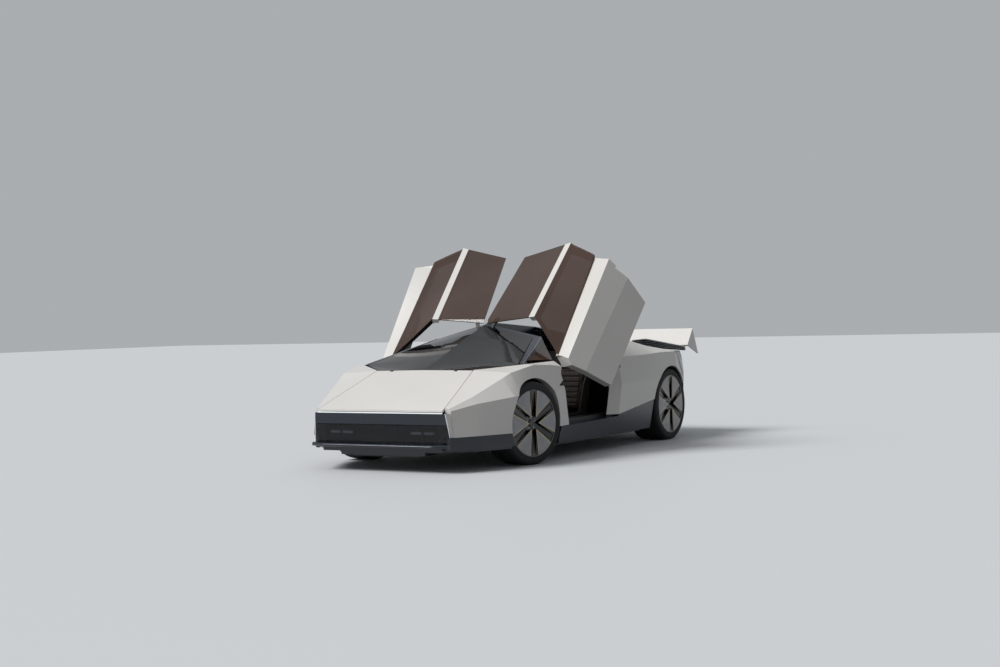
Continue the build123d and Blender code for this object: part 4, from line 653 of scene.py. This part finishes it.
def sector_plate():
    """Plate: rings of the outline from the underside, up the edge and over a bevel, closed by two fans."""
    outline = sector_outline(0.0)
    low = np.where(np.hypot(outline[:, 0], outline[:, 1]) > PLATE_FLANGE_R, PLATE_FLANGE_LOW, PLATE_LOW)
    rings = [standing(outline, low), standing(outline, PLATE_TOP - PLATE_BEVEL),
             standing(sector_outline(PLATE_BEVEL), PLATE_TOP),
             standing(sector_outline(PLATE_MARGIN), PLATE_TOP + PLATE_MARGIN_RISE)]
    count = len(outline)
    middle = outline.mean(0)
    points = np.concatenate(rings + [[(PLATE_LOW, *middle)], [(PLATE_TOP + PLATE_DOME_RISE, *middle)]])
    ring = np.arange(count)
    after = np.roll(ring, -1)
    under = np.stack([after, ring, np.full(count, 4 * count)], 1)
    over = np.stack([ring + 3 * count, after + 3 * count, np.full(count, 4 * count + 1)], 1)
    return points, [grid_quads(4, count, False, True)[:, ::-1], under[:, ::-1], over[:, ::-1]]


def sector_bead():
    """Bead: a small square section carried along one edge, round the point and back along the other."""
    outer, inner = sector_edge(-BEAD_OUT), sector_edge(BEAD_IN)
    outer = np.concatenate([outer[::-1], (outer * (1.0, -1.0))[1:]])
    inner = np.concatenate([inner[::-1], (inner * (1.0, -1.0))[1:]])
    path = np.stack([standing(outer, BEAD_LOW), standing(outer, BEAD_TOP),
                     standing(inner, BEAD_TOP), standing(inner, BEAD_LOW)], 1)
    last = 4 * (len(outer) - 1)
    ends = np.array([[3, 2, 1, 0], [last, last + 1, last + 2, last + 3]])
    return path.reshape(-1, 3), [grid_quads(len(outer), 4, False, True), ends]


def spun(points, angle):
    """Points turned about the wheel's axis."""
    y, z = points[:, 1], points[:, 2]
    return np.stack([points[:, 0], y * math.cos(angle) - z * math.sin(angle),
                     y * math.sin(angle) + z * math.cos(angle)], 1)


sector_angles = [math.radians(90.0) + HALF_SECTOR + n * 2.0 * HALF_SECTOR for n in range(SPOKES)]
plate_points, plate_faces = sector_plate()
bead_points, bead_faces = sector_bead()
all_plates = joined([(spun(plate_points, a), plate_faces) for a in sector_angles])
all_beads = joined([(spun(bead_points, a), bead_faces) for a in sector_angles])
for corner in CORNERS:
    new_piece(f"aero_plates_{corner}", on_wheel(all_plates[0], corner), all_plates[1], silver,
              f"wheel_{corner}", "rim")
    new_piece(f"aero_beads_{corner}", on_wheel(all_beads[0], corner), all_beads[1], champagne,
              f"wheel_{corner}", "rim")

# ---------------------------------------------------------------- spoke ribs, bolts, hub caps and brake discs
# Two cast ribs run down every black spoke, five zinc-plated steel bolts hold the rim and a turned black cap
# closes the hub bore.  Behind the spokes turns a ground disc of grey cast iron.
SPOKE_ROOT_OUT = -0.034
SPOKE_TIP_OUT = -0.005
SPOKE_TIP_R = 0.276
RIB_ROOT_R = 0.074
RIB_TIP_R = 0.266
RIB_CREST = 0.0045
RIB_SINK = 0.0010
RIB_FOOT_HALF = 0.0034
RIB_CREST_HALF = 0.0016
RIB_OFFSET = 0.012          # of each rib from the spoke's middle
RIB_STEPS = 7
BOLT_COUNT = 5
BOLT_CIRCLE_R = 0.047
BOLT_PROFILE = [(-0.0350, 0.0095), (-0.0275, 0.0095), (-0.0262, 0.0080), (-0.0262, 0.0045),
                (-0.0300, 0.0042)]              # this and the next two as (out, radius)
CAP_PROFILE = [(-0.0350, 0.0300), (-0.0250, 0.0300), (-0.0225, 0.0280), (-0.0215, 0.0200),
               (-0.0235, 0.0170), (-0.0235, 0.0060), (-0.0225, 0.0040)]
DISC_PROFILE = [(-0.1634, 0.108), (-0.1366, 0.108), (-0.1366, 0.1935), (-0.1376, 0.1953),
                (-0.1624, 0.1953), (-0.1634, 0.1935)]


def spoke_rib(across):
    """Rib along a spoke that points up: its foot follows the sloping face, its crest rises by a sine."""
    z = np.linspace(RIB_ROOT_R, RIB_TIP_R, RIB_STEPS)
    face = SPOKE_ROOT_OUT + (SPOKE_TIP_OUT - SPOKE_ROOT_OUT) * z / SPOKE_TIP_R
    crest = face + RIB_CREST * np.sin(np.linspace(0.25, 0.90, RIB_STEPS) * math.pi)
    foot = face - RIB_SINK
    section = [(foot, across - RIB_FOOT_HALF), (crest, across - RIB_CREST_HALF),
               (crest, across + RIB_CREST_HALF), (foot, across + RIB_FOOT_HALF)]
    points = np.stack([np.stack([out, np.full(RIB_STEPS, y), z], 1) for out, y in section], 1)
    last = 4 * (RIB_STEPS - 1)
    ends = np.array([[3, 2, 1, 0], [last, last + 1, last + 2, last + 3]])
    return points.reshape(-1, 3), [grid_quads(RIB_STEPS, 4, False, True), ends]


def lathe(profile, around):
    """(out, radius) profile turned round the wheel's axis, closed at both ends by fans to the axis."""
    angle = np.linspace(0.0, 2.0 * math.pi, around, endpoint=False)
    rows = [np.stack([np.full(around, out), r * np.cos(angle), r * np.sin(angle)], 1) for out, r in profile]
    points = np.concatenate(rows + [[(profile[0][0], 0.0, 0.0)], [(profile[-1][0], 0.0, 0.0)]])
    count = len(profile)
    ring = np.arange(around)
    after = np.roll(ring, -1)
    last = (count - 1) * around
    near = np.stack([after, ring, np.full(around, count * around)], 1)
    far = np.stack([ring + last, after + last, np.full(around, count * around + 1)], 1)
    return points, [grid_quads(count, around, False, True), near, far]


steel, tree, shader = new_finish("zinc_plated_steel", "#9C9FA3", 0.34, metallic=1.0)
blotched(tree, shader, "#8E9196", "#A9ACB0", 10.0)
iron, tree, shader = new_finish("ground_grey_cast_iron", "#6C6E70", 0.38, metallic=1.0)
blotched(tree, shader, "#606264", "#787A7C", 14.0)
rib_shells = [spoke_rib(across) for across in (-RIB_OFFSET, RIB_OFFSET)]
ribs = joined([(spun(p, n * 2.0 * HALF_SECTOR), f) for n in range(SPOKES) for p, f in rib_shells])
bolt, bolt_faces = lathe(BOLT_PROFILE, 6)
bolt_angles = [math.radians(18.0 + 360.0 / BOLT_COUNT * n) for n in range(BOLT_COUNT)]
bolts = joined([(bolt + np.array([0.0, BOLT_CIRCLE_R * math.cos(a), BOLT_CIRCLE_R * math.sin(a)]), bolt_faces)
                for a in bolt_angles])
cap = lathe(CAP_PROFILE, 48)
disc = turned(np.array(DISC_PROFILE), 96)
for corner in CORNERS:
    body = f"wheel_{corner}"
    new_piece(f"spoke_ribs_{corner}", on_wheel(ribs[0], corner), ribs[1], rim_black, body, "rim")
    new_piece(f"wheel_bolts_{corner}", on_wheel(bolts[0], corner), bolts[1], steel, body, "rim")
    new_piece(f"hub_cap_{corner}", on_wheel(cap[0], corner), cap[1], rim_black, body, "rim")
    new_piece(f"brake_disc_{corner}", on_wheel(disc[0], corner), disc[1], iron, body, "casting")

# ---------------------------------------------------------------- cabin mouldings
# Dashboard, steering wheel and seat shells are soft-touch mouldings in dark brown, with a fine leather-like
# grain that leaves them dull.
trim, tree, shader = new_finish("grained_brown_moulded_trim", "#241D1A", 0.6)
blotched(tree, shader, "#1F1917", "#2A221E", 80.0)
grained(tree, shader, 1.5, 0.35, 0.15)
dress(trim, "dashboard", "steering_wheel", "seat_shells")

# ---------------------------------------------------------------- seat pads
# Foam pads in dark brown grained leather on the moulded shells: a cushion and a backrest with sewn channels,
# and a headrest.  Each lies against its shell and swells between its seams; the right seat mirrors the left.
leather, tree, shader = new_finish("dark_brown_grained_leather", "#382B25", 0.52)
blotched(tree, shader, "#322620", "#3F312A", 40.0)
grained(tree, shader, 2.0, 0.5, 0.25)
SEAT_X = 0.370
PAD_HALF = 0.219
HEAD_HALF = 0.130
SEAT_FOOT = np.array([0.185, 0.255])
BACK_UP = np.array([0.324, 0.946])
BACK_OUT = np.array([-0.946, 0.324])
CUSHION_SIDE = [(0.128, 0.246), (-0.254, 0.266), (-0.252, 0.322), (0.100, 0.306)]  # side view, as (y, z)
BACK_SIDE = [(0.100, 0.004), (0.515, 0.004), (0.515, 0.052), (0.100, 0.052)]  # these two as (along, off)
HEAD_SIDE = [(0.536, 0.004), (0.676, 0.004), (0.674, 0.050), (0.536, 0.058)]
SHELL_SLOPE = np.array([0.400, -0.021])     # run and rise of the seat shell under the cushion
PAD_CAP = {"cushion": 0.012, "backrest": 0.011, "headrest": 0.009}      # how far the foam may swell
SEAM_ROOM = 0.009                           # what a pad's draft is narrower by on each side
HEAD_SEAM_ROOM = 0.008
VOXEL = 0.006
FOAM_PRESSURE = 4.0
LEATHER_STIFFNESS = 25.0
LEATHER_BENDING = 2.0
SETTLE_FRAMES = 20
CHANNEL_PITCH = 0.052
CHANNEL_DEPTH = 0.006
CHANNEL_HALF = 0.006
CHANNEL_MARGIN = 0.01                       # no channel runs nearer to either end of the sewn length
CHANNEL_SHARE = 0.80                        # of the pad's half width, where the channels end in a seam
CUSHION_FACE_Z = 0.300                      # above it a point lies on the cushion's open face
CUSHION_SEWN = (-0.245, 0.345)              # where the cushion's channels start, and their length in all
CUSHION_FACING = np.array([0.0, 0.046, 0.999])
BACK_FACE_OFF = 0.040
BACK_SEWN = (0.105, 0.405)
SHELL_FRONT = (-0.262, 0.2624)              # ends of the shell's floor, and the way out past its rear end
SHELL_REAR = (0.138, 0.241)
SHELL_REAR_OUT = (0.940, 0.342)
BACK_SPAN = (0.093, 0.522)                  # room for the two upper pads along the backrest
HEAD_SPAN = (0.528, 0.684)
SHELL_GAP = 0.0006


def back_point(along, off):
    """(y, z) of a point up the backrest and forward of its plane."""
    return SEAT_FOOT + BACK_UP * along + BACK_OUT * off


def pad_shape(corners, half):
    """Rounded block between its side view's (y, z) corners: foot rear, foot front, top front, top rear."""
    block, faces = pebble((0.0, 0.0, 0.0), (1.0, 1.0, 1.0), 7.0, 14)
    a, b = (block[:, 0:1] + 1.0) / 2.0, (block[:, 1:2] + 1.0) / 2.0
    shares = ((1 - a) * (1 - b), (1 - a) * b, a * b, a * (1 - b))
    side = sum(share * corner for share, corner in zip(shares, corners))
    return np.stack([SEAT_X + half * block[:, 2], side[:, 0], side[:, 1]], 1), faces


def swollen(name, points, faces, cap):
    """Remeshed copy of a shape blown up by cloth pressure, with each point's travel held under the cap."""
    draft = new_piece(name, points, faces, leather, "root", "seat_fabric", 180.0)
    remesh = draft.modifiers.new("even_grid", "REMESH")
    remesh.mode = "VOXEL"
    remesh.voxel_size = VOXEL
    remesh.use_smooth_shade = True
    bpy.context.view_layer.update()
    graph = bpy.context.evaluated_depsgraph_get()
    base = bpy.data.meshes.new_from_object(draft.evaluated_get(graph))
    draft.modifiers.clear()
    draft.data = base
    start = np.empty(len(base.vertices) * 3)
    base.vertices.foreach_get("co", start)
    cloth = draft.modifiers.new("foam", "CLOTH")
    cloth.settings.use_pressure = True
    cloth.settings.uniform_pressure_force = FOAM_PRESSURE
    cloth.settings.effector_weights.gravity = 0.0
    cloth.settings.tension_stiffness = LEATHER_STIFFNESS
    cloth.settings.compression_stiffness = LEATHER_STIFFNESS
    cloth.settings.bending_stiffness = LEATHER_BENDING
    for number in range(1, SETTLE_FRAMES + 1):
        bpy.context.scene.frame_set(number)
    graph = bpy.context.evaluated_depsgraph_get()
    blown = bpy.data.meshes.new_from_object(draft.evaluated_get(graph))
    end = np.empty(len(blown.vertices) * 3)
    blown.vertices.foreach_get("co", end)
    bpy.context.scene.frame_set(1)
    draft.modifiers.clear()
    travel = (end - start).reshape(-1, 3)
    length = np.linalg.norm(travel, axis=1, keepdims=True)
    travel *= np.minimum(1.0, cap / np.maximum(length, 1e-9))
    base.vertices.foreach_set("co", start + travel.reshape(-1))
    finer = draft.modifiers.new("finer", "SUBSURF")
    finer.levels = finer.render_levels = 1
    bpy.context.view_layer.update()
    graph = bpy.context.evaluated_depsgraph_get()
    final = bpy.data.meshes.new_from_object(draft.evaluated_get(graph))
    points = np.empty(len(final.vertices) * 3)
    final.vertices.foreach_get("co", points)
    sides = np.empty(len(final.polygons), int)
    final.polygons.foreach_get("loop_total", sides)
    corners = np.empty(len(final.loops), int)
    final.loops.foreach_get("vertex_index", corners)
    starts = np.concatenate([[0], np.cumsum(sides)[:-1]])
    groups = [corners[starts[sides == k][:, None] + np.arange(k)[None, :]] for k in np.unique(sides)]
    bpy.data.objects.remove(draft)
    return points.reshape(-1, 3), groups


def held(points, planes):
    """Points pushed back to the near side of each (point, outward normal) plane in side view."""
    for (y, z), (ny, nz) in planes:
        past = (points[:, 1] - y) * ny + (points[:, 2] - z) * nz
        over = np.maximum(past, 0.0)
        points[:, 1] -= over * ny
        points[:, 2] -= over * nz
    return points


def channelled(points, along, outward, length):
    """Sewn channels: points on the open face sink by a narrow bell of depth at every channel line."""
    line = CHANNEL_PITCH * np.round(along / CHANNEL_PITCH)
    low, high = CHANNEL_MARGIN, length - CHANNEL_MARGIN
    off_middle = np.abs(points[:, 0] - SEAT_X)
    inside = (line > low) & (line < high) & (off_middle < PAD_HALF * CHANNEL_SHARE)
    bell = np.exp(-((along - line) / CHANNEL_HALF) ** 2) * inside
    edge = np.exp(-((off_middle - PAD_HALF * CHANNEL_SHARE) / CHANNEL_HALF) ** 2)
    edge *= (along > low) & (along < high)
    return points - CHANNEL_DEPTH * np.maximum(bell, edge)[:, None] * outward


def on_backrest(points, span):
    """Points held forward of the shell and between two places along the backrest."""
    low, high = span
    return held(points, [(back_point(low, SHELL_GAP), tuple(-BACK_OUT)),
                         (back_point(low, 0.0), tuple(-BACK_UP)), (back_point(high, 0.0), tuple(BACK_UP))])


foot_slope = SHELL_SLOPE / np.linalg.norm(SHELL_SLOPE)
foot_down = (foot_slope[1], -foot_slope[0])
shape, faces = pad_shape([np.array(c) for c in CUSHION_SIDE], PAD_HALF - SEAM_ROOM)
shape, faces = swollen("cushion_draft", shape, faces, PAD_CAP["cushion"])
along = shape[:, 1] - CUSHION_SEWN[0]
sewn = channelled(shape, along, CUSHION_FACING, CUSHION_SEWN[1])
shape = np.where((shape[:, 2] > CUSHION_FACE_Z)[:, None], sewn, shape)
cushion = (held(shape, [(SHELL_FRONT, foot_down), (SHELL_FRONT, (-1.0, 0.0)),
                        (SHELL_REAR, SHELL_REAR_OUT)]), faces)

shape, faces = pad_shape([back_point(*c) for c in BACK_SIDE], PAD_HALF - SEAM_ROOM)
shape, faces = swollen("backrest_draft", shape, faces, PAD_CAP["backrest"])
along = (shape[:, 1:] - SEAT_FOOT) @ BACK_UP - BACK_SEWN[0]
off = (shape[:, 1:] - SEAT_FOOT) @ BACK_OUT
sewn = channelled(shape, along, np.array([0.0, *BACK_OUT]), BACK_SEWN[1])
shape = np.where((off > BACK_FACE_OFF)[:, None], sewn, shape)
backrest = (on_backrest(shape, BACK_SPAN), faces)

shape, faces = pad_shape([back_point(*c) for c in HEAD_SIDE], HEAD_HALF - HEAD_SEAM_ROOM)
shape, faces = swollen("headrest_draft", shape, faces, PAD_CAP["headrest"])
headrest = (on_backrest(shape, HEAD_SPAN), faces)

for side_name, side in (("left", 1.0), ("right", -1.0)):
    mirror = np.array([side, 1.0, 1.0])
    for part_name, (pad_points, pad_faces), node in (("cushion", cushion, "seat_cushions"),
                                                     ("backrest", backrest, "seat_backs"),
                                                     ("headrest", headrest, "seat_backs")):
        pad = new_piece(f"seat_{part_name}_{side_name}", pad_points * mirror, pad_faces, leather, "root",
                        "seat_fabric", 180.0)
        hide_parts(node)

# ---------------------------------------------------------------- displays, wheel pad, armrest and carpets
# Two displays of black gloss glass are bonded to the face of the dashboard, a moulded pad covers the steering
# wheel's hub, a moulded lid closes the centre tunnel, and dull brown cut-pile carpets lie on the floor.
DASH_FOOT = np.array([-0.640, 0.640])
DASH_HEAD = np.array([-0.600, 0.770])
MIDDLE_DISPLAY = (0.0, 0.072, 0.165, 0.056)     # middle across and up the face, half width, half height
DRIVER_DISPLAY = (0.365, 0.082, 0.140, 0.046)
DISPLAY_GAP = 0.0004
DISPLAY_HALF_T = 0.0068
dash_up = (DASH_HEAD - DASH_FOOT) / np.linalg.norm(DASH_HEAD - DASH_FOOT)
dash_out = np.array([dash_up[1], -dash_up[0]])


def display(middle_x, middle_along, half_x, half_along):
    """Rounded plate on the face of the dashboard: width, length up the face, thickness out of it."""
    block, faces = pebble((0.0, 0.0, DISPLAY_GAP + DISPLAY_HALF_T), (half_x, half_along, DISPLAY_HALF_T),
                          9.0, 12)
    side = DASH_FOOT + np.outer(middle_along + block[:, 1], dash_up) + np.outer(block[:, 2], dash_out)
    return np.stack([middle_x + block[:, 0], side[:, 0], side[:, 1]], 1), faces


glass_black, tree, shader = new_finish("black_display_glass", "#08090C", 0.09, coat=0.6, coat_roughness=0.02)
blotched(tree, shader, "#07080A", "#0B0D11", 80.0)
new_piece("dash_displays", *joined([display(*MIDDLE_DISPLAY), display(*DRIVER_DISPLAY)]), glass_black, "root",
          "black_plastic")

WHEEL_AT = np.array([0.365, -0.520, 0.720])
COLUMN_RISE = 0.42          # of the steering column for each unit back
WHEEL_PAD_HALF = (0.078, 0.052, 0.0075)
WHEEL_PAD_GAP = 0.0003
column = np.array([0.0, 1.0, COLUMN_RISE]) / math.hypot(1.0, COLUMN_RISE)
rightward = np.array([1.0, 0.0, 0.0])
wheel_up = np.cross(column, rightward)
block, faces = pebble((0.0, 0.0, WHEEL_PAD_GAP + WHEEL_PAD_HALF[2]), WHEEL_PAD_HALF, 4.0, 14)
pad_points = WHEEL_AT + block @ np.array([rightward, wheel_up, column])
new_piece("steering_wheel_pad", pad_points, faces, trim, "root", "trim")

ARMREST_AT = (0.0, 0.02, 0.3205)
ARMREST_HALF = (0.088, 0.21, 0.0200)
new_piece("centre_armrest_lid", *pebble(ARMREST_AT, ARMREST_HALF, 7.0, 16), trim, "root", "trim")

carpet, tree, shader = new_finish("cut_pile_nylon_carpet", "#2A2019", 0.9)
blotched(tree, shader, "#231A14", "#33271F", 6.0)
grained(tree, shader, 2.5, 0.9, 1.2)
CARPET_AT = (0.405, -0.515, 0.1555)
CARPET_HALF = (0.285, 0.290, 0.0052)
mats = [pebble(np.array(CARPET_AT) * (side, 1.0, 1.0), CARPET_HALF, 12.0, 14) for side in (-1.0, 1.0)]
new_piece("floor_carpets", *joined(mats), carpet, "root", "trim")

# ---------------------------------------------------------------- door cards and seals
# Each door is lined with a moulded card in soft-touch brown trim, with a swelling for the elbow, and a
# rubber seal runs round it.  Card and seal are clipped to the inner wall and swing with the door.
HINGE_TOP = np.array([0.0, -0.512, 1.163])
HINGE_LOW = np.array([0.930, -0.860, 0.900])
DOOR_OPEN = math.radians(53.5)
# inner wall of the shut door at its two stations: hem, bow line, shoulder crest and deck edge, as (x, z)
WALL_FRONT = (-0.820, np.array([(0.885, 0.296), (0.896, 0.566), (0.870, 0.723), (0.778, 0.774)]))
WALL_REAR = (0.300, np.array([(0.892, 0.325), (0.900, 0.564), (0.863, 0.768), (0.684, 0.796)]))
CARD_FRONT_Y = (-0.705, -0.760)         # the card's front and rear edge, each at its foot and at its head
CARD_REAR_Y = (0.030, 0.145)
CARD_HEIGHT = (0.16, 1.94)              # foot and head in facet lines, as inner_wall counts them
CARD_BACK = 0.0004
CARD_EDGE_T = 0.0030
CARD_T = 0.0070                         # what the card gains inside its rounded border
ELBOW_RISE = 0.042
ELBOW_HEIGHT = 1.12
SEAM_HEIGHTS = (0.62, 1.62)
SEAM_DEPTH = 0.003
SEAM_HALF = 0.018
SEAL_HALF = 0.0042
SEAL_OFF = 0.0045                       # the wall to the seal's middle
SEAL_STEPS = 220
SEAL_TURN = [0.0, 0.36, 0.50, 0.86, 1.0]            # corners of the seal's way round, then their card place
SEAL_ALONG = [-0.035, 1.035, 1.035, -0.035, -0.035]
SEAL_UP = [-0.055, -0.055, 1.055, 1.055, -0.055]


def swung(points):
    """Points of the shut left door turned about the slanted hinge line to where the door stands open."""
    axis = (HINGE_LOW - HINGE_TOP) / np.linalg.norm(HINGE_LOW - HINGE_TOP)
    arm = points - HINGE_TOP
    along = np.outer(arm @ axis, axis)
    return HINGE_TOP + along + (arm - along) * math.cos(DOOR_OPEN) + np.cross(axis, arm) * math.sin(DOOR_OPEN)


def inner_wall(y, height):
    """Point of the shut door's inner wall; height runs from 0 at the hem by 1 for each facet line."""
    share = (y - WALL_FRONT[0]) / (WALL_REAR[0] - WALL_FRONT[0])
    lines = [np.interp(height, range(4), WALL_FRONT[1][:, k]) * (1 - share)
             + np.interp(height, range(4), WALL_REAR[1][:, k]) * share for k in (0, 1)]
    return np.stack([lines[0], y, lines[1]], -1)


def on_card(along, up):
    """Point of the inner wall behind the card: along runs from front to rear edge, up from foot to head."""
    spans = (CARD_FRONT_Y, CARD_REAR_Y, CARD_HEIGHT)
    front_y, rear_y, height = [foot + (head - foot) * up for foot, head in spans]
    return inner_wall(front_y + (rear_y - front_y) * along, height)


up, along = np.meshgrid(np.linspace(0.0, 1.0, 40), np.linspace(0.0, 1.0, 60), indexing="ij")
wall = on_card(along, up)
height = CARD_HEIGHT[0] + (CARD_HEIGHT[1] - CARD_HEIGHT[0]) * up
border = np.minimum(np.minimum(along, 1 - along) * 14.0, np.minimum(up, 1 - up) * 9.0)
elbow = np.exp(-((height - ELBOW_HEIGHT) / 0.26) ** 2)
elbow = elbow / (1 + np.exp(-(along - 0.30) * 22)) / (1 + np.exp((along - 0.93) * 30))
seam_line = sum(np.exp(-((height - seam_height) / SEAM_HALF) ** 2) for seam_height in SEAM_HEIGHTS)
rise = CARD_EDGE_T + CARD_T * np.clip(border, 0.0, 1.0) ** 0.5
rise = rise + ELBOW_RISE * elbow - SEAM_DEPTH * seam_line * (border > 1.0)
inward = np.array([-1.0, 0.0, 0.0])
card_points, card_faces = slab(wall + rise[..., None] * inward, wall + CARD_BACK * inward)

turn = np.linspace(0.0, 1.0, SEAL_STEPS, endpoint=False)
path = on_card(np.interp(turn, SEAL_TURN, SEAL_ALONG), np.interp(turn, SEAL_TURN, SEAL_UP))
path = path + SEAL_OFF * inward
ahead = np.roll(path, -1, 0) - np.roll(path, 1, 0)
ahead /= np.linalg.norm(ahead, axis=1, keepdims=True)
across = np.cross(ahead, inward)
across /= np.linalg.norm(across, axis=1, keepdims=True)
around = np.linspace(0.0, 2.0 * math.pi, 8, endpoint=False)
seal_points = (path[:, None, :] + SEAL_HALF * np.cos(around)[None, :, None] * across[:, None, :]
               + SEAL_HALF * np.sin(around)[None, :, None] * inward).reshape(-1, 3)
seal_faces = [grid_quads(SEAL_STEPS, 8, True, True)]
for side_name, side in (("left", 1.0), ("right", -1.0)):
    mirror = np.array([side, 1.0, 1.0])
    door = f"door_{side_name}"
    new_piece(f"door_card_{side_name}", swung(card_points) * mirror, card_faces, trim, door, "trim", 50.0)
    new_piece(f"door_seal_{side_name}", swung(seal_points) * mirror, seal_faces, rubber, door,
              "black_plastic", 180.0)

# ---------------------------------------------------------------- studio: floor, backdrop and soft light
# A pale painted floor that runs on behind the car, under an evenly bright room and one broad soft key
# light from ahead on the car's right.  Floor and room look brighter than the light that they throw.
FLOOR_HALF = 60.0


def seen_directly(tree):
    """Output that is one where the camera sees a surface, itself or mirrored or through glass."""
    rays = add_node(tree, "ShaderNodeLightPath")
    total = rays.outputs["Is Camera Ray"]
    for kind in ("Is Glossy Ray", "Is Transmission Ray"):
        either = add_node(tree, "ShaderNodeMath", {"operation": "MAXIMUM"})
        tree.links.new(total, either.inputs[0])
        tree.links.new(rays.outputs[kind], either.inputs[1])
        total = either.outputs["Value"]
    return total


floor_mesh = bpy.data.meshes.new("floor")
corners = ((-1.0, -1.0), (1.0, -1.0), (1.0, 1.0), (-1.0, 1.0))
floor_mesh.from_pydata([(x * FLOOR_HALF, y * FLOOR_HALF, 0.0) for x, y in corners], [], [(0, 1, 2, 3)])
ground = bpy.data.objects.new("floor", floor_mesh)
bpy.context.scene.collection.objects.link(ground)
pale, tree, shader = new_finish("pale_painted_floor", "#DEE0E2", 0.6)
tint = add_node(tree, "ShaderNodeMix", {"data_type": "RGBA"}, links={"Factor": seen_directly(tree)})
tint.inputs["A"].default_value = linear("#76787B")
tint.inputs["B"].default_value = linear("#DEE0E2")
tree.links.new(tint.outputs["Result"], shader.inputs["Base Color"])
ground.data.materials.append(pale)

world = bpy.data.worlds.new("studio")
bpy.context.scene.world = world
world.use_nodes = True
sky = world.node_tree.nodes["Background"]
sky.inputs["Color"].default_value = linear("#E4E8EC")
shown = add_node(world.node_tree, "ShaderNodeMapRange", values={"To Min": 0.34, "To Max": 0.52},
                 links={"Value": seen_directly(world.node_tree)})
world.node_tree.links.new(shown.outputs["Result"], sky.inputs["Strength"])

KEY_FROM = (-0.45, -0.60, 0.80)
key = bpy.data.lights.new("key_through_ceiling", "SUN")
key.energy = 2.5
key.angle = math.radians(28.0)
key_holder = bpy.data.objects.new("key_through_ceiling", key)
key_holder.matrix_world = Vector(KEY_FROM).to_track_quat("Z", "Y").to_matrix().to_4x4()
bpy.context.scene.collection.objects.link(key_holder)

# ---------------------------------------------------------------- camera
# Low three-quarter view from ahead on the car's left, with a long lens.
CAMERA_AT = (7.309, -12.334, 1.233)
CAMERA_YAW = 0.544959
CAMERA_PITCH = 0.0099059
CAMERA_ROLL = -0.0246017
SENSOR_MM = 36.0
FOCAL_MM = 54.738
forward = Vector((-math.sin(CAMERA_YAW) * math.cos(CAMERA_PITCH),
                  math.cos(CAMERA_YAW) * math.cos(CAMERA_PITCH), -math.sin(CAMERA_PITCH)))
level = Vector((math.cos(CAMERA_YAW), math.sin(CAMERA_YAW), 0.0))
upright = level.cross(forward)
right = level * math.cos(CAMERA_ROLL) + upright * math.sin(CAMERA_ROLL)
up = upright * math.cos(CAMERA_ROLL) - level * math.sin(CAMERA_ROLL)
lens = bpy.data.cameras.new("camera")
lens.sensor_width = SENSOR_MM
lens.lens = FOCAL_MM
camera = bpy.data.objects.new("camera", lens)
camera.matrix_world = Matrix((
    (right.x, up.x, -forward.x, CAMERA_AT[0]),
    (right.y, up.y, -forward.y, CAMERA_AT[1]),
    (right.z, up.z, -forward.z, CAMERA_AT[2]),
    (0.0, 0.0, 0.0, 1.0)))
bpy.context.scene.collection.objects.link(camera)
bpy.context.scene.camera = camera
bpy.context.scene.view_settings.view_transform = "Standard"
